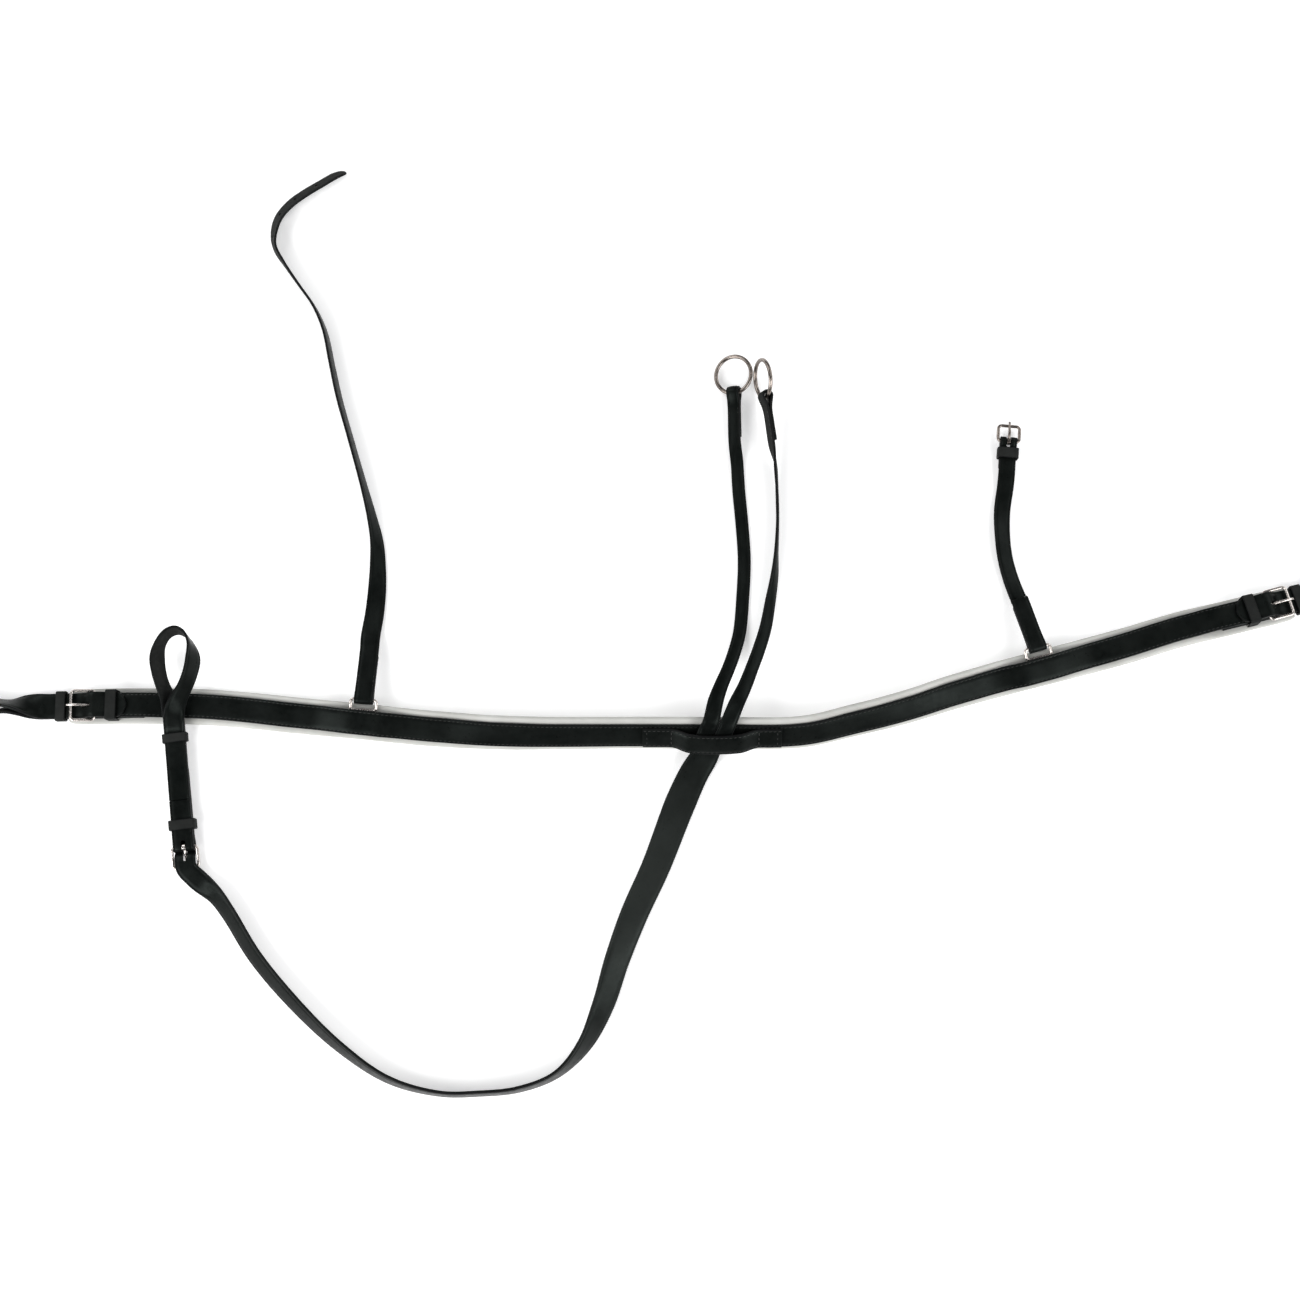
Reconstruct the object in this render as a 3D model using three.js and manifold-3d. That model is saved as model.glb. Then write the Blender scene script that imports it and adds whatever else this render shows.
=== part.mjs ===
// A running martingale breastplate for a horse, laid out on the ground.
// Millimetres, +X along the breast collar, +Y towards the rein rings, +Z up, the ground at z = 0.
// Straps are swept from hand-placed key stations: a point, the strap's width direction and its size.

import * as THREE from 'three';
import { mergeVertices } from 'three/addons/utils/BufferGeometryUtils.js';
import Module from 'manifold-3d';

const wasm = await Module();
wasm.setup();

// ---- driving dimensions ----

const GAP = 0.3;                    // clearance between neighbouring pieces
const GROUND_GAP = 0.2;             // straps lie this far above the ground plane
const FLOOR_CENTRE = [-34.5, 129.9]; // middle of the footprint in the layout's own coordinates

const PAD = { width: 36, thickness: 6.5, endThickness: 4, overhang: 27 };
const BREAST = { width: 24.5, thickness: 3, endThickness: 2.5 };
const BRIDGE = { at: 611, width: 21, thickness: 3 };
const BODY = { topWidth: 28, endWidth: 20.5, thickness: 3 };
const LEG = { width: 13.2, forkWidth: 16.4, thickness: 2.5 };
const GIRTH = { width: 25, thickness: 3 };
const LOOP = { width: 20.5, thickness: 2.5 };
const NECK = { ringWidth: 19, width: 17, thickness: 2.5 };
const KEEPER = { thickness: 1.6 };

const WIRE_RADIUS = 1.6;            // buckle frames and wither rings
const REIN_RING = { radius: 19, wire: 2.1 };
const TONGUE = { radius: 1.3, eyeInner: 1.95, eyeOuter: 3.5, eyeWidth: 4 };
const SLOT = { chape: 5, billet: 4.2 };

const BIG_BUCKLE = { reach: 22.5, half: 14.6, rise: 2.5 };
const LOOP_BUCKLE = { reach: 20, half: 12.4, rise: 2.5 };
const NECK_BUCKLE = { reach: 16.5, half: 10.7, rise: -1 };
const HEEL_HEIGHT = 12;             // heel bar of a girth buckle above the padding's underside

// Centre line of the breast collar, heel bar to heel bar.
const COLLAR_ROUTE = [
  [-614, 35.5], [-582, 36], [-513, 35], [-463, 31.5], [-413, 26.5], [-348, 20.5], [-283, 14],
  [-214, 10], [-154, 9.5], [-95, 10], [0, 10], [84, 11], [134, 22], [184, 34.5], [234, 50],
  [284, 64], [344, 79.5], [405, 95.5], [466, 113], [517, 125.5], [550, 133.5],
];
// How far the collar leans along its length: its upper side edge is raised in the middle.
const COLLAR_ROLL = [
  [0, 0], [110, 0], [200, 10], [270, 14], [340, 20], [400, 30], [460, 37], [520, 40], [720, 40],
  [760, 38], [810, 33], [860, 26], [920, 18], [1110, -7], [1300, -7],
];
const WITHER = {
  left: { at: 266, bar: 12 },
  right: { at: 946, bar: 12 },
};
const WITHER_RING = { half: 12.7, depth: 10.5, height: 9.3 };

// ---- small helpers ----

const vec = (x, y, z) => new THREE.Vector3(x, y, z);
const radians = THREE.MathUtils.degToRad;
const X = vec(1, 0, 0);
const Y = vec(0, 1, 0);
const Z = vec(0, 0, 1);

// Value of a table of [place, value] rows, eased between the rows.
function profile(table, place) {
  if (place <= table[0][0]) return table[0][1];
  for (let i = 1; i < table.length; i += 1) {
    const [from, before] = table[i - 1];
    const [to, after] = table[i];
    if (place <= to) return before + (after - before) * THREE.MathUtils.smoothstep(place, from, to);
  }
  return table[table.length - 1][1];
}

// A closed body through a row of equal sections, each a ring of points.
function sweptBody(sections, looped = false) {
  const sides = sections[0].length;
  const points = sections.flat();
  const index = [];
  const spans = looped ? sections.length : sections.length - 1;
  for (let k = 0; k < spans; k += 1) {
    const here = k * sides;
    const next = ((k + 1) % sections.length) * sides;
    for (let i = 0; i < sides; i += 1) {
      const j = (i + 1) % sides;
      const [a, b, c, d] = [here + i, here + j, next + j, next + i];
      // Every twisted quad splits along its higher diagonal, so layered straps lie parallel.
      if (points[a].z + points[c].z >= points[b].z + points[d].z) index.push(a, b, c, a, c, d);
      else index.push(a, b, d, b, c, d);
    }
  }
  const end = (sections.length - 1) * sides;
  for (let i = 1; !looped && i < sides - 1; i += 1) {
    index.push(0, i + 1, i, end, end + i, end + i + 1);
  }
  const geometry = new THREE.BufferGeometry();
  const positions = points.flatMap((v) => [v.x, v.y, v.z]);
  geometry.setAttribute('position', new THREE.Float32BufferAttribute(positions, 3));
  geometry.setIndex(index);
  geometry.computeVertexNormals();
  return geometry;
}

// Tangent, width direction and face direction at each station.
function frames(stations, looped) {
  const last = stations.length - 1;
  return stations.map((station, k) => {
    const before = stations[looped ? (k + last) % stations.length : Math.max(k - 1, 0)].p;
    const after = stations[looped ? (k + 1) % stations.length : Math.min(k + 1, last)].p;
    const along = after.clone().sub(before).normalize();
    const across = station.w.clone().addScaledVector(along, -along.dot(station.w)).normalize();
    return { ...station, across, face: along.clone().cross(across) };
  });
}

function strapGeometry(stations, looped = false) {
  const corners = [[1, 1], [-1, 1], [-1, -1], [1, -1]];
  const sections = frames(stations, looped).map(({ p, across, face, width, thickness }) => (
    corners.map(([i, j]) => p.clone()
      .addScaledVector(across, (i * width) / 2)
      .addScaledVector(face, (j * thickness) / 2))));
  return sweptBody(sections, looped);
}

function wireGeometry(points, radius, w, { sides = 8, looped = false } = {}) {
  const stations = points.map((p) => ({ p, w }));
  const sections = frames(stations, looped).map(({ p, across, face }) => (
    Array.from({ length: sides }, (_, i) => {
      const angle = ((i + 0.5) / sides) * Math.PI * 2;
      return p.clone()
        .addScaledVector(across, radius * Math.cos(angle))
        .addScaledVector(face, radius * Math.sin(angle));
    })));
  return sweptBody(sections, looped);
}

// A key on open ground: the strap rests on its lower edge when rolled.
function groundKey([x, y, roll = 0, lift = 0, width], size) {
  const wide = width ?? size.width;
  const lean = radians(roll);
  const rest = (wide * Math.abs(Math.sin(lean)) + size.thickness * Math.abs(Math.cos(lean))) / 2;
  return { p: vec(x, y, rest + lift + GROUND_GAP), roll, width: wide, thickness: size.thickness };
}

// Gives every key that has a roll its width direction.
function aim(keys) {
  return keys.map((key, k) => {
    if (key.w) return key;
    const before = keys[Math.max(k - 1, 0)].p;
    const after = keys[Math.min(k + 1, keys.length - 1)].p;
    const along = after.clone().sub(before).normalize();
    const side = vec(-along.y, along.x, 0).normalize();
    const up = along.clone().cross(side);
    const lean = radians(key.roll);
    const w = side.multiplyScalar(Math.cos(lean)).addScaledVector(up, Math.sin(lean));
    return { ...key, w };
  });
}

// Fills in stations between the keys, about one per step of length.
function smooth(keys, step) {
  const aimed = aim(keys);
  for (let k = 1; k < aimed.length; k += 1) {
    if (aimed[k].w.dot(aimed[k - 1].w) < 0) aimed[k].w = aimed[k].w.clone().negate();
  }
  const path = new THREE.CatmullRomCurve3(aimed.map(({ p }) => p), false, 'centripetal');
  const widths = new THREE.CatmullRomCurve3(aimed.map(({ w }) => w), false, 'catmullrom', 0.5);
  const stations = [];
  for (let k = 0; k < aimed.length - 1; k += 1) {
    const [a, b] = [aimed[k], aimed[k + 1]];
    const count = Math.max(1, Math.round(a.p.distanceTo(b.p) / step));
    for (let i = 0; i < count; i += 1) {
      const part = i / count;
      const t = (k + part) / (aimed.length - 1);
      stations.push({
        p: path.getPoint(t),
        w: widths.getPoint(t).normalize(),
        width: THREE.MathUtils.lerp(a.width, b.width, part),
        thickness: THREE.MathUtils.lerp(a.thickness, b.thickness, part),
      });
    }
  }
  stations.push(aimed[aimed.length - 1]);
  return stations;
}

function placedKeys(keys, matrix) {
  return keys.map((key) => ({
    ...key,
    p: key.p.clone().applyMatrix4(matrix),
    w: key.w.clone().transformDirection(matrix),
  }));
}

// ---- booleans ----

function solidOf(geometry) {
  const bare = geometry.clone();
  bare.deleteAttribute('normal');
  bare.deleteAttribute('uv');
  const merged = mergeVertices(bare, 1e-4);
  return new wasm.Manifold(new wasm.Mesh({
    numProp: 3,
    vertProperties: new Float32Array(merged.attributes.position.array),
    triVerts: new Uint32Array(merged.index.array),
  }));
}

function geometryOf(solid) {
  const { vertProperties, triVerts } = solid.getMesh();
  const geometry = new THREE.BufferGeometry();
  geometry.setAttribute('position', new THREE.Float32BufferAttribute(vertProperties, 3));
  geometry.setIndex(Array.from(triVerts));
  geometry.computeVertexNormals();
  return geometry;
}

const cut = (geometry, ...tools) => geometryOf(
  tools.reduce((solid, tool) => solid.subtract(solidOf(tool)), solidOf(geometry)));
const joined = (a, b) => geometryOf(solidOf(a).add(solidOf(b)));

function slotTool(from, to, width, bottom, top, matrix = new THREE.Matrix4()) {
  const box = new THREE.BoxGeometry(to - from, width, top - bottom);
  return box.translate((from + to) / 2, 0, (bottom + top) / 2).applyMatrix4(matrix);
}

// ---- materials and the scene graph ----

const LEATHER = new THREE.MeshStandardMaterial({ color: 0x17171a, roughness: 0.5, metalness: 0 });
const EDGE_LEATHER = new THREE.MeshStandardMaterial({ color: 0x101012, roughness: 0.6, metalness: 0 });
const PADDING = new THREE.MeshStandardMaterial({ color: 0xb9b9b2, roughness: 0.8, metalness: 0 });
const NICKEL = new THREE.MeshStandardMaterial({ color: 0xc9c2bc, roughness: 0.25, metalness: 1 });

const martingale = new THREE.Group();
martingale.position.set(-FLOOR_CENTRE[0], -FLOOR_CENTRE[1], 0);

function add(name, geometry, material, parent = martingale) {
  const mesh = new THREE.Mesh(geometry, material);
  mesh.name = name;
  parent.add(mesh);
}

function groupAt(matrix) {
  const group = new THREE.Group();
  matrix.decompose(group.position, group.quaternion, group.scale);
  martingale.add(group);
  return group;
}

// ---- the breast collar ----

const collarCurve = new THREE.CatmullRomCurve3(
  COLLAR_ROUTE.map(([x, y]) => vec(x, y, 0)), false, 'centripetal');
collarCurve.arcLengthDivisions = 2000;
const COLLAR_LENGTH = collarCurve.getLength();

// Basis at a distance along the collar: x along it, y across it, z out of its face,
// from the middle of the padding's underside.
function collarFrame(distance) {
  const inside = THREE.MathUtils.clamp(distance, 0, COLLAR_LENGTH);
  const t = collarCurve.getUtoTmapping(0, inside);
  const along = collarCurve.getTangent(t);
  const lean = radians(profile(COLLAR_ROLL, inside));
  const side = vec(-along.y, along.x, 0);
  const across = side.clone().multiplyScalar(Math.cos(lean)).addScaledVector(Z, Math.sin(lean));
  const up = Z.clone().multiplyScalar(Math.cos(lean)).addScaledVector(side, -Math.sin(lean));
  const origin = collarCurve.getPoint(t).addScaledVector(along, distance - inside);
  origin.z = (PAD.width / 2) * Math.abs(Math.sin(lean));
  return new THREE.Matrix4().makeBasis(along, across, up).setPosition(origin);
}

function collarKey(distance, offset, height, width, thickness) {
  const frame = collarFrame(distance);
  const w = Y.clone().transformDirection(frame);
  return { p: vec(0, offset, height).applyMatrix4(frame), w, width, thickness };
}

const fromEnd = (distance) => Math.min(distance, COLLAR_LENGTH - distance);
const padThickness = (distance) => profile(
  [[52, PAD.endThickness], [80, PAD.thickness]], fromEnd(distance));
const MIDDLE_START = 60;
const MIDDLE_COUNT = 66;
// Stations that the padding and the strap share between the collar's ends.
const MIDDLE = Array.from({ length: MIDDLE_COUNT + 1 }, (_, k) => (
  MIDDLE_START + ((COLLAR_LENGTH - 2 * MIDDLE_START) * k) / MIDDLE_COUNT));

function breastPadding() {
  const ends = [-PAD.overhang, -PAD.overhang + 6, -8, 15, 52];
  const farEnds = ends.map((s) => COLLAR_LENGTH - s).reverse();
  const taper = [[-PAD.overhang, 31], [-PAD.overhang + 6, 35], [-8, PAD.width]];
  return strapGeometry([...ends, ...MIDDLE, ...farEnds].map((s) => {
    const thick = padThickness(s);
    return collarKey(s, 0, thick / 2, profile(taper, fromEnd(s)), thick);
  }));
}

// The breast strap rises over each wither ring's bar and over the girth strap's sewn end.
const FOLD_RADIUS = WIRE_RADIUS + GAP + BREAST.endThickness / 2;
const SEWN_GAP = 0.45;               // the strap over the padding, which both twist
const REST_HEIGHT = PAD.thickness + SEWN_GAP + BREAST.thickness / 2;
const END_HEIGHT = HEEL_HEIGHT - FOLD_RADIUS + BREAST.endThickness + GAP;
const TOP_LEG = [
  [0, HEEL_HEIGHT + FOLD_RADIUS], [5, 14.4], [12, 12.2], [20, END_HEIGHT], [50, END_HEIGHT],
  [76, REST_HEIGHT],
];
const RING_LIFT = 5.2;

function ringLift(distance) {
  return Object.values(WITHER).reduce((lift, { at }) => (
    lift + RING_LIFT * profile([[0, 1], [16, 1], [44, 0]], Math.abs(distance - at))), 0);
}

function breastStrap() {
  const keys = [];
  const endSize = [BREAST.width, BREAST.endThickness];
  // One folded end, from the return leg's tip round the heel bar to the top leg.
  const foldedEnd = (place) => {
    const bottom = HEEL_HEIGHT - FOLD_RADIUS;
    const list = [44, 30, 15, 6].map((d) => collarKey(place(d), 0, bottom, ...endSize));
    for (let angle = -90; angle <= 90; angle += 30) {
      const d = -FOLD_RADIUS * Math.cos(radians(angle));
      const height = HEEL_HEIGHT + FOLD_RADIUS * Math.sin(radians(angle));
      list.push(collarKey(place(d), 0, height, ...endSize));
    }
    for (const [d, height] of TOP_LEG.slice(1, 5)) {
      list.push(collarKey(place(d), 0, height, ...endSize));
    }
    return list;
  };
  keys.push(...foldedEnd((d) => d));
  for (const s of MIDDLE) {
    const thickness = profile([[50, BREAST.endThickness], [76, BREAST.thickness]], fromEnd(s));
    const height = profile(TOP_LEG, fromEnd(s)) + ringLift(s);
    keys.push(collarKey(s, 0, height, BREAST.width, thickness));
  }
  keys.push(...foldedEnd((d) => COLLAR_LENGTH - d).reverse());
  const slots = [0, COLLAR_LENGTH].map((s) => (
    slotTool(-6, 6, SLOT.chape, 7, 17, collarFrame(s))));
  return cut(strapGeometry(smooth(keys, 30)), ...slots);
}

// The bridge is sewn down at both ends and stands over the martingale between them.
const BRIDGE_SEWN = REST_HEIGHT + BREAST.thickness + GAP;
const LAYER = {
  body: BRIDGE_SEWN,
  legs: BRIDGE_SEWN + (BODY.thickness + LEG.thickness) / 2 + GAP,
};
const BRIDGE_TOP = LAYER.legs + (LEG.thickness + BRIDGE.thickness) / 2 + 0.7;

function centreBridge() {
  const rows = [
    [-68, BRIDGE_SEWN, 0], [-50, BRIDGE_SEWN, 0], [-38, BRIDGE_SEWN, 0.4],
    [-31, BRIDGE_SEWN + 3.2, 1.2], [-24, BRIDGE_TOP, 2.2], [-12, BRIDGE_TOP + 0.6, 3.4],
    [4, BRIDGE_TOP + 0.8, 3.8], [20, BRIDGE_TOP + 0.6, 3.2], [30, BRIDGE_TOP, 2],
    [37, BRIDGE_SEWN + 3.2, 1.2], [44, BRIDGE_SEWN, 0.4], [56, BRIDGE_SEWN, 0],
    [68, BRIDGE_SEWN, 0],
  ];
  const keys = rows.map(([u, height, bow]) => (
    collarKey(BRIDGE.at + u, -0.5 - bow, height, BRIDGE.width, BRIDGE.thickness)));
  return strapGeometry(smooth(keys, 20));
}

// ---- buckles and keepers, in a frame with x from the heel bar to the front bar ----

function rectangleLoop(halfAcross, from, to, corner) {
  const [x0, z0] = from;
  const [x1, z1] = to;
  const height = (x) => z0 + ((z1 - z0) * (x - x0)) / (x1 - x0);
  const corners = [
    [x0, -halfAcross], [x1, -halfAcross], [x1, halfAcross], [x0, halfAcross],
  ];
  const points = [];
  corners.forEach(([x, y], i) => {
    const [px, py] = corners[(i + 3) % 4];
    const [nx, ny] = corners[(i + 1) % 4];
    const inset = (ax, ay) => {
      const reach = Math.hypot(ax - x, ay - y);
      return [x + ((ax - x) * corner) / reach, y + ((ay - y) * corner) / reach];
    };
    const [a, b] = [inset(px, py), inset(nx, ny)];
    const middle = [(a[0] + b[0]) / 4 + x / 2, (a[1] + b[1]) / 4 + y / 2];
    for (const [cx, cy] of [a, middle, b]) points.push(vec(cx, cy, height(cx)));
  });
  return points;
}

function buckleFrame({ reach, half, rise }, heel) {
  const loop = rectangleLoop(half, [0, heel], [reach, heel + rise], 2.6);
  const normal = vec(-rise, 0, reach).normalize();
  return wireGeometry(loop, WIRE_RADIUS, normal, { looped: true });
}

function buckleTongue({ reach, rise }, heel) {
  const { eyeInner, eyeOuter, eyeWidth, radius } = TONGUE;
  const ring = [
    [eyeInner, -eyeWidth / 2], [eyeOuter, -eyeWidth / 2], [eyeOuter, eyeWidth / 2],
    [eyeInner, eyeWidth / 2], [eyeInner, -eyeWidth / 2],
  ].map(([r, y]) => new THREE.Vector2(r, y));
  const eye = new THREE.LatheGeometry(ring, 16).translate(0, 0, heel);
  const top = heel + rise + WIRE_RADIUS + GAP + radius;
  const rod = [
    vec(2.4, 0, heel + 1.2), vec(6, 0, heel + 2.9), vec(10, 0, Math.max(heel + 3.8, top - 1.6)),
    vec(reach * 0.75, 0, top), vec(reach, 0, top + 0.1), vec(reach + 3.4, 0, top - 1.1),
  ];
  return joined(eye, wireGeometry(rod, radius, Y));
}

// A band round a strap at x, in the y, z plane; open at the bottom when it is sewn in.
function keeperGeometry(x, [left, right], [bottom, top], width, open = false) {
  const t = KEEPER.thickness / 2;
  const c = 1.6;
  const [l, r, b, u] = [left - t, right + t, bottom - t, top + t];
  const ring = open
    ? [[l, bottom], [l, u - c], [l + c, u], [r - c, u], [r, u - c], [r, bottom]]
    : [
      [l, b + c], [l, u - c], [l + c, u], [r - c, u], [r, u - c], [r, b + c], [r - c, b], [l + c, b],
    ];
  const stations = ring.map(([y, z]) => (
    { p: vec(x, y, z), w: X, width, thickness: KEEPER.thickness }));
  return strapGeometry(stations, !open);
}

// ---- girth loops ----

// Rows are place, lean, half spacing and the direction of that spacing, which turns from
// stacked to side by side; an ellipse closes the end. The two runs come back as key lists.
function loopRuns(rows, { lead, closing, lift }, size) {
  const run = (sign) => rows.map(([x, roll, spread, turn]) => {
    const lean = radians(roll);
    const rest = (size.width * Math.sin(lean) + size.thickness * Math.cos(lean)) / 2;
    const y = -sign * spread * Math.sin(radians(turn));
    const z = rest + profile(lift, x) + sign * spread * Math.cos(radians(turn));
    return { p: vec(x, y + profile(lead, x), z), w: vec(0, Math.cos(lean), Math.sin(lean)), ...size };
  });
  const [lastX, lastRoll, widest] = rows[rows.length - 1];
  const tip = [];
  for (const angle of [-60, -30, 0, 30, 60]) {
    const along = Math.cos(radians(angle));
    const roll = THREE.MathUtils.lerp(lastRoll, 78, along);
    const lean = radians(roll);
    const x = lastX + closing * along;
    const y = widest * Math.sin(radians(angle));
    const rest = (size.width * Math.sin(lean) + size.thickness * Math.cos(lean)) / 2;
    const w = vec(along * Math.cos(lean), Math.cos(lean) * (1 - along), Math.sin(lean)).normalize();
    tip.push({ p: vec(x, y + profile(lead, x), rest + profile(lift, x)), w, ...size });
  }
  return { upper: run(1), tip, lower: run(-1).reverse() };
}

// Height of a billet's centre from the front bar, over the heel bar and back to its tip.
const BILLET = [
  [18, 9.6], [12, 10.8], [8, 13.4], [4.6, 16.6], [1, 18.3], [-3, 18.3], [-8, 16.8], [-14, 15.2],
  [-20, 14.9],
];

function girthStrap() {
  const size = { width: GIRTH.width, thickness: GIRTH.thickness };
  const half = (GIRTH.thickness + GAP) / 2;
  const rows = [
    [30, 0, half, 0], [49, 0, 1.95, 0], [56, 9, 2.4, 9], [66, 34, 2.9, 34],
    [77, 58, 3, 58], [86, 70, 3.3, 74], [98, 74, 5.2, 90], [112, 74, 9.5, 90],
    [128, 74, 13, 90],
  ];
  const shape = {
    lead: [[0, 0], [160, 0]],
    closing: 26,
    lift: [[49, PAD.endThickness + GAP + half], [70, half + 0.3],
      [86, half], [98, 0.3]],
  };
  const { upper, tip, lower } = loopRuns(rows, shape, size);
  const heightAt = (x, z) => ({ p: vec(x, 0, z), w: Y, ...size });
  const low = PAD.endThickness + GAP + GIRTH.thickness / 2;
  const keys = [
    ...[-32, ...BILLET.map(([x]) => x).reverse()].map((x) => (
      heightAt(x, profile([...BILLET].reverse(), x)))),
    heightAt(25, 9.2), ...upper, ...tip, ...lower,
    ...[15, -10, -30, -48].map((x) => heightAt(x, low)),
  ];
  const hole = slotTool(2.4, 13.5, SLOT.billet, 8.2, 22);
  return cut(strapGeometry(smooth(keys, 9)), hole);
}

function girthEnd(side, frame) {
  const group = groupAt(frame);
  const low = PAD.endThickness + GAP;
  add(`girth_strap_${side}`, girthStrap(), LEATHER, group);
  add(`girth_buckle_frame_${side}`, buckleFrame(BIG_BUCKLE, HEEL_HEIGHT), NICKEL, group);
  add(`girth_buckle_tongue_${side}`, buckleTongue(BIG_BUCKLE, HEEL_HEIGHT), NICKEL, group);
  const sewnIn = keeperGeometry(-17.5, [-13.4, 13.4], [low + 0.1, 18], 11, true);
  add(`collar_keeper_${side}`, sewnIn, EDGE_LEATHER, group);
  const running = keeperGeometry(33.8, [-13.3, 13.3], [3.7, 11.2], 10, false);
  add(`girth_running_keeper_${side}`, running, EDGE_LEATHER, group);
}

function outwardFrame(distance, outward) {
  const frame = collarFrame(distance);
  return outward > 0 ? frame : frame.multiply(new THREE.Matrix4().makeRotationZ(Math.PI));
}

// ---- the martingale: body strap, fork legs, rein rings ----

const CROSSING = radians(20);       // how far the martingale is turned from square to the collar

function crossingKey(along, aside, height, width, thickness) {
  const u = along * Math.sin(CROSSING) + aside * Math.cos(CROSSING);
  const v = along * Math.cos(CROSSING) - aside * Math.sin(CROSSING);
  const frame = collarFrame(BRIDGE.at + u);
  const w = vec(Math.cos(CROSSING), -Math.sin(CROSSING), 0).transformDirection(frame);
  return { p: vec(0, v, height).applyMatrix4(frame), w, width, thickness };
}

// The loop end's buckle faces the ground, so its frame has z pointing down.
const LOOP_TURN = radians(-83);
const LOOP_HEEL = vec(-520, -104, HEEL_HEIGHT + 7.9);
const loopFrame = new THREE.Matrix4()
  .makeRotationZ(LOOP_TURN)
  .multiply(new THREE.Matrix4().makeRotationX(Math.PI))
  .setPosition(LOOP_HEEL);

const BODY_ROUTE = [
  [-21.5, -31, -9, 1.2, 29], [-35, -60, -3, 0.2, 30.5], [-59.5, -123, -5, 0, 28.2],
  [-80.5, -169, -12, 0, 27.3], [-97, -213, -25, 0, 26], [-110, -255, -38, 0, 25.5],
  [-128, -293, -60, 0, 25],
  [-154, -320, -76, 0, 24.5], [-190, -334, -78, 0, 23], [-228, -338, -78, 0, 21.5],
  [-266, -338, -77, 0, 20.5], [-315, -325, -70, 0, 20.5], [-363, -294, -60, 0, 20.5],
  [-410, -251, -50, 0, 20.5], [-447, -209, -45, 0, 20.5], [-474, -168, -42, 0.3, 20.5],
  [-488, -150, -34, 1, 20.5],
];

function bodyStrap() {
  const size = { width: BODY.topWidth, thickness: BODY.thickness };
  const leaving = [[16, 0], [8, 0], [0, 0], [-10, 0], [-17, 0.9], [-23.3, 1.9]];
  const crossing = leaving.map(([along, rise]) => (
    crossingKey(along, 0, LAYER.body + rise, size.width, size.thickness)));
  const ground = BODY_ROUTE.map((row) => groundKey(row, size));
  const end = { width: BODY.endWidth, thickness: BODY.thickness };
  const tail = [
    [32, -9.5, 13], [21, -1.2, 10.5], [13, 0, 11.4],
    ...BILLET.slice(2).map(([x, z]) => [x, 0, z]), [-40, 0, 14.9], [-62, 0.3, 14.9],
    [-86, 0.6, 14.9],
  ].map(([x, y, z]) => ({ p: vec(x, y, z), w: Y, ...end }));
  const keys = [...crossing, ...ground, ...placedKeys(tail, loopFrame)];
  const hole = slotTool(2.4, 13.5, SLOT.billet, 8.2, 22, loopFrame);
  return cut(strapGeometry(smooth(keys, 14)), hole);
}

const RING_PLAY = 1.6;              // room for the curved wire to turn inside its fold
const RING_FOLD = REIN_RING.wire + RING_PLAY + LEG.thickness / 2;
const RING_SET = 0.6 - REIN_RING.radius;

// A fold round a bar: the return leg, half a turn and the start of the main leg, with x
// away from the bar, y along it and z towards the main leg.
function foldKeys(radius, tail, size, lead) {
  const closed = (size.thickness + GAP) / 2;
  const arc = [];
  for (let angle = -90; angle <= 90; angle += 30) {
    arc.push([-radius * Math.cos(radians(angle)), radius * Math.sin(radians(angle))]);
  }
  const closing = closed + (radius - closed) * 0.42;
  const rows = [
    [tail, -closed], [tail * 0.6, -closed], [14, -closed - 0.1], [7, -closing], ...arc,
    [7, closing], [14, closed + 0.1], [lead, closed],
  ];
  return rows.map(([x, z]) => ({ p: vec(x, 0, z), w: Y, ...size }));
}

function basis(origin, away, along) {
  const x = away.clone().normalize();
  const y = along.clone().addScaledVector(x, -x.dot(along)).normalize();
  return new THREE.Matrix4().makeBasis(x, y, x.clone().cross(y)).setPosition(origin);
}

// Where each rein ring's wire passes through its leg's fold, and how the ring stands there.
const REIN = {
  left: { hold: vec(20.6, 358, 9.6), away: vec(0.02, -1, -0.08), along: vec(1, 0, 0.42) },
  right: { hold: vec(52.3, 351, 18.5), away: vec(0.15, -1, -0.11), along: vec(0.32, 0, 0.95) },
};

const LEG_ROUTES = {
  left: {
    aside: -8.4,
    ground: [
      [-1, 36, 0, 33.5, 15.5], [4.5, 52, 0, 26, 14], [12, 70, 0, 16], [18.5, 88, 0, 7.5],
      [24.5, 110, 0, 1.5],
      [28, 144, 0], [30, 185, 0], [28, 222, 0], [25, 258, 0, 0.3], [23.6, 284, 8, 0.7],
    ],
  },
  right: {
    aside: 8.4,
    ground: [
      [19.5, 34, 0, 34, 15.5], [28, 52, 2, 27, 14], [35.5, 71, 6, 17], [43, 91, 12, 9],
      [50.5, 115, 24, 3],
      [56, 144, 40], [60, 168, 58], [62, 192, 76], [63.5, 227, 86], [63, 258, 86, 1],
      [62, 281, 80, 2.5],
    ],
  },
};

function forkLeg(side) {
  const size = { width: LEG.width, thickness: LEG.thickness };
  const { aside, ground } = LEG_ROUTES[side];
  const { hold, away, along } = REIN[side];
  const start = [-9, 0, 9, 19].map((place) => (
    crossingKey(place, aside, LAYER.legs, LEG.forkWidth, size.thickness)));
  const keys = ground.map((row) => groundKey(row, size));
  const fold = placedKeys(foldKeys(RING_FOLD, 46, size, 50), basis(hold, away, along));
  return strapGeometry(smooth([...start, ...keys, ...fold.reverse()], 14));
}

function reinRing(side) {
  const { hold, away, along } = REIN[side];
  const frame = basis(hold, away, along);
  const ring = new THREE.TorusGeometry(REIN_RING.radius, REIN_RING.wire, 8, 28);
  return ring.translate(RING_SET, 0, 0).applyMatrix4(frame);
}

// ---- wither rings and neck straps ----

const WITHER_PLAY = 0.5;            // room for a neck strap to turn on its bar
const WITHER_FOLD = WIRE_RADIUS + WITHER_PLAY + NECK.thickness / 2;

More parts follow.
